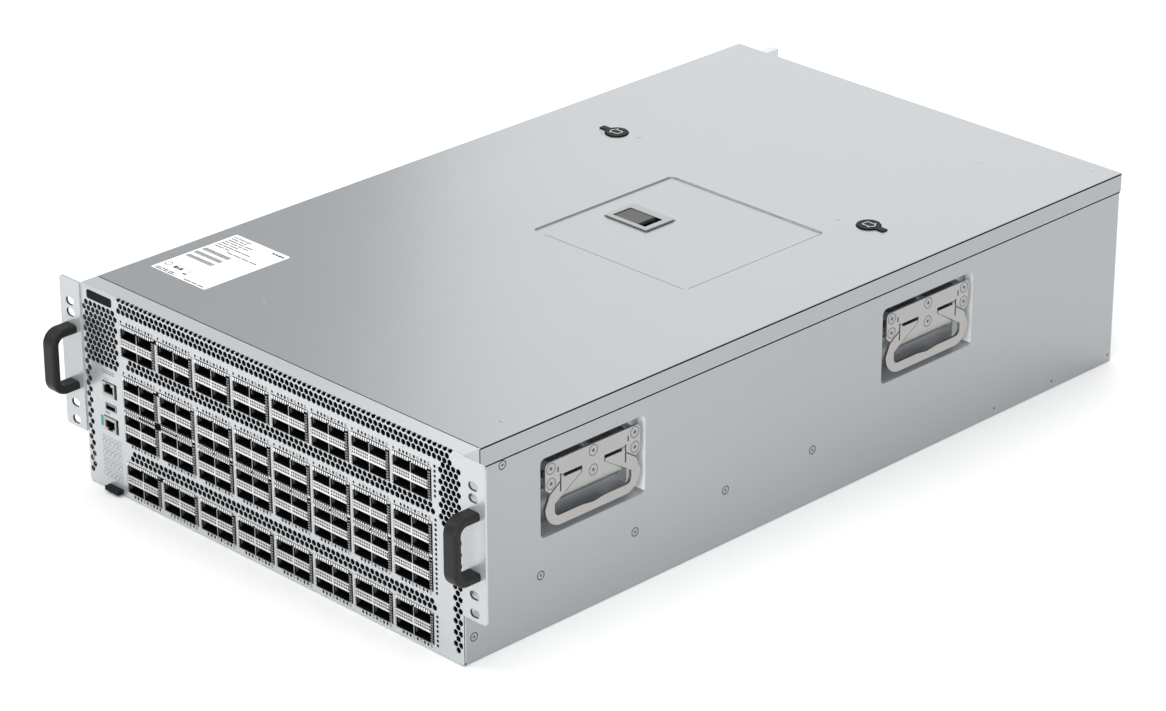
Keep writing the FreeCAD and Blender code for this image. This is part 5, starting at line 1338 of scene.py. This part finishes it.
@dataclass
class SideWalls:
    """The chassis box, its screws and the lifting handles in its recesses."""

    wall: float = 218.7
    recesses: tuple[tuple[str, float], ...] = (("front", -245.1), ("rear", 135.9))
    recess_half: float = 58.0
    recess_x: Span = (196.0, 218.5)
    recess_z: Span = (68.0, 142.0)
    body_screws: tuple[Span, ...] = (
        (-300.6, 46.1), (-200.4, 46.1), (-100.2, 46.1), (0.0, 46.1), (-338.8, 151.3),
        (-369.6, 20.7))
    plate_screws: tuple[Span, ...] = (
        (-44.2, 130.9), (-44.2, 118.4), (44.2, 130.9), (44.2, 118.4), (0.0, 130.9),
        (0.0, 114.8))

    def drive(self, piece: Piece, place: Point, reach: float, ring: float) -> None:
        """Adds the star-shaped drive and the shadow ring of one flat screw, both dark as painted
        shade.

        Args:
            piece: The piece that takes them.
            place: Middle of the screw's head.
            reach: Radius of the head.
            ring: Width of its shadow ring.
        """
        for turn in (0.0, 60.0, 120.0):
            flat = (Matrix.Translation(place) @ Matrix.Rotation(math.radians(turn), 4, "X")
                    @ Matrix.Diagonal((0.12, reach * 0.72, reach * 0.13, 1.0)))
            bmesh.ops.create_cube(piece.mesh, size=1.0, matrix=flat)
        piece.rod(place, reach * 0.15, 0.10, Axis.X, sides=8)
        piece.spun(around((reach - ring / 3, reach + ring * 2 / 3), (-0.05, 0.05)), place, Axis.X,
                   sides=24)

    def screws(self) -> None:
        """Finishes the wall screws and adds their drives."""
        dress(SCREW, "body_screws", "lift_screws", "hinge_pins")
        drives = Piece("wall_screw_drives", SHADE_DARK)
        for side in Side:
            x = side.value * self.wall
            for y, z in self.body_screws:
                self.drive(drives, (x, y, z), 3.3, 0.8)
            for _, centre in self.recesses:
                for y, z in self.plate_screws:
                    self.drive(drives, (x, centre + y, z), 4.4, 0.5)
        drives.ready("chassis_body")

    def handles(self) -> None:
        """Softens the plates and rings of the lifting handles."""
        for side in Side:
            for recess, _ in self.recesses:
                place = f"{side.name.lower()}_{recess}"
                refine(f"lift_plate_{place}", "chassis_body", PLATE_STEEL, edge=0.25)
                refine(f"lift_handle_{place}", f"lift_body_{place}", PLATE_STEEL,
                       edge=0.5)

    def slits(self) -> None:
        """Adds black slits of painted shade over the hinge slots, and black linings of painted
        shade behind them.
        """
        piece = Piece("plate_slits", SHADE_BLACK)
        for side in Side:
            shade_lining, slit = ((side.value * (self.wall + low), side.value * (self.wall + high))
                           for low, high in ((-4.9, -4.6), (-0.4, 0.04)))
            for _, centre in self.recesses:
                for sign in (-1, 1):
                    piece.block(shade_lining, (centre + sign * 12.4, centre + sign * 34.6),
                                (118.2, 123.8))
                    y = centre + sign * 36.9
                    piece.block(slit, (y - 0.55, y + 0.55), (125.6, 130.1))
        piece.ready("chassis_body")

    def in_recess(self, spot: Vector) -> bool:
        """Tells if a point lies in one of the handle recesses.

        Args:
            spot: The point.

        Returns:
            True in a recess.
        """
        return (any(abs(spot.y - centre) < self.recess_half for _, centre in self.recesses)
                and self.recess_x[0] < abs(spot.x) < self.recess_x[1]
                and self.recess_z[0] < spot.z < self.recess_z[1])

    def build(self) -> None:
        """Dresses the walls, with painted light on the recesses' rear and lower walls."""
        box = refine("chassis", "chassis_body", GREY_COAT, edge=0.3)
        # Painted light: the recesses' rear walls, which face the front, are near white.
        mark_faces(box.data, LIT_WALL, lambda spot, normal: (
            normal.y < -0.5 and self.in_recess(spot)))
        # Painted light: the recesses' floors, which face up, get the lighter coat.
        mark_faces(box.data, LIT_COAT, lambda spot, normal: (
            normal.z > 0.5 and self.in_recess(spot)))
        self.screws()
        self.handles()
        self.slits()


@dataclass
class Ears:
    """The rack ears, their bar handles and the screws that hold both."""

    flange: Span = (221.5, 243.5)
    holes: Span = (45.0, 172.0)

    def build(self) -> None:
        """Dresses both sides, with the walls of the ears' holes dark as painted shade."""
        for side in ("left", "right"):
            ear = refine(f"ear_{side}", "chassis_body", LIT_COAT, edge=0.2)
            mark_faces(ear.data, SHADE_DARK, lambda spot, normal: (
                self.flange[0] < abs(spot.x) < self.flange[1] and abs(normal.y) < 0.4
                and self.holes[0] < spot.z < self.holes[1]))
            refine(f"ear_handle_{side}", "chassis_body", HANDLE_COAT, edge=0.2,
                   smooth=50.0)
        dress(SCREW, "ear_screws")


# ---- rear ----------------------------------------------------------------------------


@dataclass
class PowerSupplies:
    """The four supplies: inlet pins, vent meshes, lamps, handles and levers."""

    left: float = -216.1
    floor: float = 1.3
    pitch: float = 42.5
    height: float = 40.0
    back: float = 380.0
    inlet_x: float = 30.0
    inlet_depth: float = 14.0
    inlet_rim: tuple[tuple[Span, Span], ...] = (
        ((-14.6, 14.6), (-10.9, -10.0)), ((-14.6, 14.6), (10.0, 10.9)),
        ((-14.6, -13.75), (-10.0, 10.0)), ((13.75, 14.6), (-10.0, 10.0)))
    pins: tuple[Span, ...] = ((-7.0, -2.0), (0.0, 3.0), (7.0, -2.0))
    vent_x: float = 58.0
    vent_radius: float = 11.5
    vent_rings: Point = (0.30, 0.55, 0.80)
    lamp_x: float = 69.0
    lamp_rises: Span = (13.0, 9.5)

    def details(self, index: int) -> None:
        """Adds what one supply's back carries.

        Args:
            index: The supply, from 0 at the bottom.
        """
        middle = self.floor + self.pitch * index + self.height / 2
        inlet = self.left + self.inlet_x
        depth = self.back - self.inlet_depth
        piece = Piece(f"supply_details_{index + 1}", BLACK, PLATED, LENS, SHADE_BLACK)

        def place(x: Span, y: Span, z: Span, finish: int, edge: float = 0.0) -> None:
            """Adds a block whose X and Z start at the inlet's middle."""
            piece.block((inlet + x[0], inlet + x[1]), y, (middle + z[0], middle + z[1]), finish,
                        edge)

        place((-13.6, 13.6), (depth, depth + 0.4), (-9.9, 9.9), 0)
        for x, z in self.pins:
            place((x - 1.0, x + 1.0), (depth + 0.3, depth + 10.5), (z - 2.6, z + 2.6), 1, 0.25)
        for x, z in self.inlet_rim:
            place(x, (self.back - 0.3, self.back + 0.5), z, 0)
        for share in self.vent_rings:
            radius = self.vent_radius * share
            piece.spun(around((radius - 0.35, radius + 0.35), (0.0, 0.7)),
                       (self.left + self.vent_x, self.back - 0.7, middle), Axis.Y, 1, 36)
        for rise in self.lamp_rises:
            piece.rod((self.left + self.lamp_x, self.back, middle + rise), 1.2, 0.5, Axis.Y, 2,
                      16, 0.12)
        # A black strip of painted shade along the supply's left edge.
        piece.block((self.left + 0.8, self.left + 2.4), (self.back - 0.02, self.back + 0.06),
                    (middle - 18.6, middle + 18.6), 3)
        piece.ready(f"supply_body_{index + 1}")

    def build(self) -> None:
        """Dresses every supply and its lever."""
        for index in range(4):
            number = index + 1
            refine(f"power_supply_{number}", f"supply_body_{number}", PLATED,
                   edge=0.2)
            refine(f"supply_lever_{number}", f"lever_body_{number}", LEVER_BLUE,
                   edge=0.3)
            self.details(index)


@dataclass
class FanTrays:
    """The four fan trays: rotors, guards, numbers, lamps and captive screws."""

    left: float = -139.8625
    pitch: float = 89.675
    width: float = 86.0
    back: float = 380.0
    fan_radius: float = 39.5
    fan_heights: Span = (43.3, 124.3)
    screw_reach: float = 35.5
    screw: tuple[Span, ...] = ((0.0, -0.05), (2.6, -0.05), (2.6, 0.5), (1.9, 0.9), (0.0, 1.0))
    lamp_x: float = 79.0
    label_radius: float = 13.0
    label_lines: tuple[float, ...] = (9.0, 13.0, 11.0, 6.0)

    def details(self, index: int) -> None:
        """Adds what one tray's back carries.

        Args:
            index: The tray, from 0 at the left seen from the front.
        """
        left, back, number = self.left + self.pitch * index, self.back, str(index + 1)
        centre = left + self.width / 2
        piece = Piece(f"tray_details_{number}", SCREW, LENS, DARK_INK, SHADE_BLACK)
        for middle in self.fan_heights:
            piece.spun(around((self.fan_radius - 0.2, self.fan_radius + 0.9), (-0.05, 0.25)),
                       (centre, back, middle), Axis.Y, sides=64)
            for x in (centre - self.screw_reach, centre + self.screw_reach):
                for z in (middle - self.screw_reach, middle + self.screw_reach):
                    piece.spun(self.screw, (x, back, z), Axis.Y, sides=24)
                    # The screw's slot, black as painted shade.
                    piece.block((x - 1.5, x + 1.5), (back + 0.95, back + 1.05),
                                (z - 0.3, z + 0.3), 3)
        piece.rod((left + self.lamp_x, back, 84.6), 1.3, 0.6, Axis.Y, 1, 16, 0.12)
        backward = Matrix.Rotation(math.pi, 4, "Z") @ Matrix.Rotation(math.pi / 2, 4, "X")
        spot = Matrix.Translation((left + self.lamp_x, back + 0.02, 78.2))
        piece.words(number, 4.5, spot @ backward, 0.06, 2)
        piece.ready(f"tray_body_{number}", smooth=50.0)

    def labels(self, index: int) -> None:
        """Adds a round label to the back of each of a tray's motors.

        Args:
            index: The tray, from 0.
        """
        centre = self.left + self.pitch * index + self.width / 2
        piece = Piece(f"motor_labels_{index + 1}", LABEL, INK)
        for middle in self.fan_heights:
            piece.spun(around((0.0, self.label_radius), (-0.02, 0.1)),
                       (centre, self.back, middle), Axis.Y, sides=40)
            for row, width in enumerate(self.label_lines):
                low = middle + 5.0 - 3.4 * row
                piece.block((centre - width / 2, centre + width / 2),
                            (self.back + 0.08, self.back + 0.14), (low, low + 1.3), 1)
        piece.ready(f"tray_body_{index + 1}")

    def build(self) -> None:
        """Dresses every tray and its rotors."""
        for index in range(4):
            number = index + 1
            refine(f"fan_tray_{number}", f"tray_body_{number}", PLATED, edge=0.25)
            for level in ("lower", "upper"):
                refine(f"fan_rotor_{number}_{level}", f"rotor_body_{number}_{level}",
                       FAN_BLACK, edge=0.15, smooth=40.0)
            self.details(index)
            self.labels(index)


# ---- inside --------------------------------------------------------------------------


@dataclass
class Inside:
    """The rear frame, the boards and what stands on them, seen when the cover slides back."""

    top: float = 78.9
    chip_x: tuple[float, ...] = (12.0, 34.0, 61.0, 88.0, 117.0, 142.0)
    chip_y: tuple[float, ...] = (-42.0, -16.0, 12.0, 34.0)
    can: tuple[Span, ...] = ((0.0, 0.0), (3.4, 0.0), (3.4, 6.2), (2.9, 6.9), (0.0, 7.0))
    can_y: float = 50.5

    def components(self) -> None:
        """Adds chips, cans and connectors to the main board's free fields."""
        piece = Piece("board_components", CHIP, PLATED)
        foot, top = self.top - 0.05, self.top
        for column, x in enumerate(self.chip_x):
            for row, y in enumerate(self.chip_y):
                half = 3.0 + 1.6 * ((column * 3 + row * 2) % 4)
                tall = 1.2 + 0.5 * ((column + row) % 3)
                piece.block((x - half, x + half), (y - half * 0.8, y + half * 0.8),
                            (foot, top + tall), edge=0.25)
                for left in (x - half - 1.6, x + half + 0.5):
                    piece.block((left, left + 1.1), (y - 2.0, y + 2.0), (foot, top + 0.9), 1)
        for x in steps(8.0, 11.5, 14):
            piece.spun(self.can, (x, self.can_y, top), Axis.Z, 1, 20)
        for index, x in enumerate(steps(-140.0, 22.0, 4)):
            piece.block((x, x + 15.0), (-243.0, -236.0), (foot, top + 5.0 + index % 2), edge=0.4,
                        segments=2)
        for x in steps(-150.0, 9.0, 34):
            piece.block((x, x + 4.5), (-226.0, -219.0), (foot, top + 1.4), edge=0.2)
            piece.block((x + 5.4, x + 7.0), (-225.0, -221.0), (foot, top + 0.8), 1)
        piece.ready("chassis_body", smooth=50.0)

    def build(self) -> None:
        """Dresses the frame and the inside nodes."""
        refine("rear_frame", "chassis_body", LIT_COAT, edge=0.15)
        dress(BOARD, "power_board", "fan_board", "main_board", "port_boards", "processor_card")
        dress(PLATED, "board_posts")
        dress(SINK, "heat_sink")
        dress(COPPER, "bus_bars")
        self.components()


# ---- studio --------------------------------------------------------------------------


@dataclass
class Studio:
    """A plain pale floor, soft light and the camera."""

    floor_size: float = 30.0
    camera_at: Point = (2.16795, -2.188, 1.47885)
    camera_turn: Point = (65.22597, 0.12153, 45.19493)
    lens: float = 126.81
    world: float = 0.72
    lamps: tuple[tuple[str, Point, Point, float, float], ...] = (
        ("top_light", (0.0, 0.0, 3.5), (0.0, 0.0, 0.0), 4.0, 84.0),
        ("back_light", (-0.85, 1.55, 0.75), (0.0, 0.2, 0.15), 1.5, 5.6),
        ("side_light", (1.3, -1.9, 1.2), (0.2, -0.35, 0.05), 2.0, 15.0),
        ("front_light", (0.6, -1.3, 0.3), (0.12, -0.38, 0.08), 0.4, 3.0),
        ("edge_light", (-1.4, -1.28, 1.5), (0.0, -0.36, 0.17), 0.3, 4.0))

    def floor(self) -> None:
        """Lays a large pale sheet under the chassis."""
        mesh = bmesh.new()
        bmesh.ops.create_grid(mesh, x_segments=1, y_segments=1, size=self.floor_size / 2,
                              matrix=Matrix.Translation((0.0, 0.0, -0.0005)))
        paper = Finish("studio_paper", (0.93, 0.93, 0.93), 0.75, variation=0.005, relief=0.002)
        show("studio_floor", mesh, [paper])

    def lights(self) -> None:
        """Sets the soft lights, each with a place, an aim, a side and a power, and the room."""
        for name, place, aim, size, power in self.lamps:
            light = bpy.data.lights.new(name, "AREA")
            light.shape = "SQUARE"
            light.size = size
            light.energy = power
            holder = bpy.data.objects.new(name, light)
            holder.location = place
            run = Vector(aim) - Vector(place)
            holder.rotation_euler = run.to_track_quat("-Z", "Y").to_euler()
            bpy.context.scene.collection.objects.link(holder)
        world = bpy.data.worlds.new("white_room")
        world.use_nodes = True
        background = world.node_tree.nodes["Background"]
        background.inputs["Color"].default_value = (1.0, 1.0, 1.0, 1.0)
        background.inputs["Strength"].default_value = self.world
        bpy.context.scene.world = world

    def camera(self) -> None:
        """Sets the camera."""
        data = bpy.data.cameras.new("camera")
        data.lens = self.lens
        data.sensor_width = 36.0
        data.sensor_fit = "HORIZONTAL"
        data.clip_end = 100.0
        holder = bpy.data.objects.new("camera", data)
        holder.location = self.camera_at
        holder.rotation_euler = [math.radians(angle) for angle in self.camera_turn]
        bpy.context.scene.collection.objects.link(holder)
        bpy.context.scene.camera = holder
        bpy.context.scene.view_settings.view_transform = "Standard"

    def build(self) -> None:
        """Sets up the whole studio."""
        self.floor()
        self.lights()
        self.camera()


def main() -> None:
    """Builds the switch and the studio in order."""
    logging.basicConfig(level=logging.INFO, format="%(name)s: %(message)s")
    for group in (SideWalls(), TopCover(), Ears(), PortCages(), ManagementPorts(),
                  PowerSupplies(), FanTrays(), Inside(), Studio()):
        LOG.info("building %s", type(group).__name__)
        group.build()


if __name__ == "__main__":
    main()
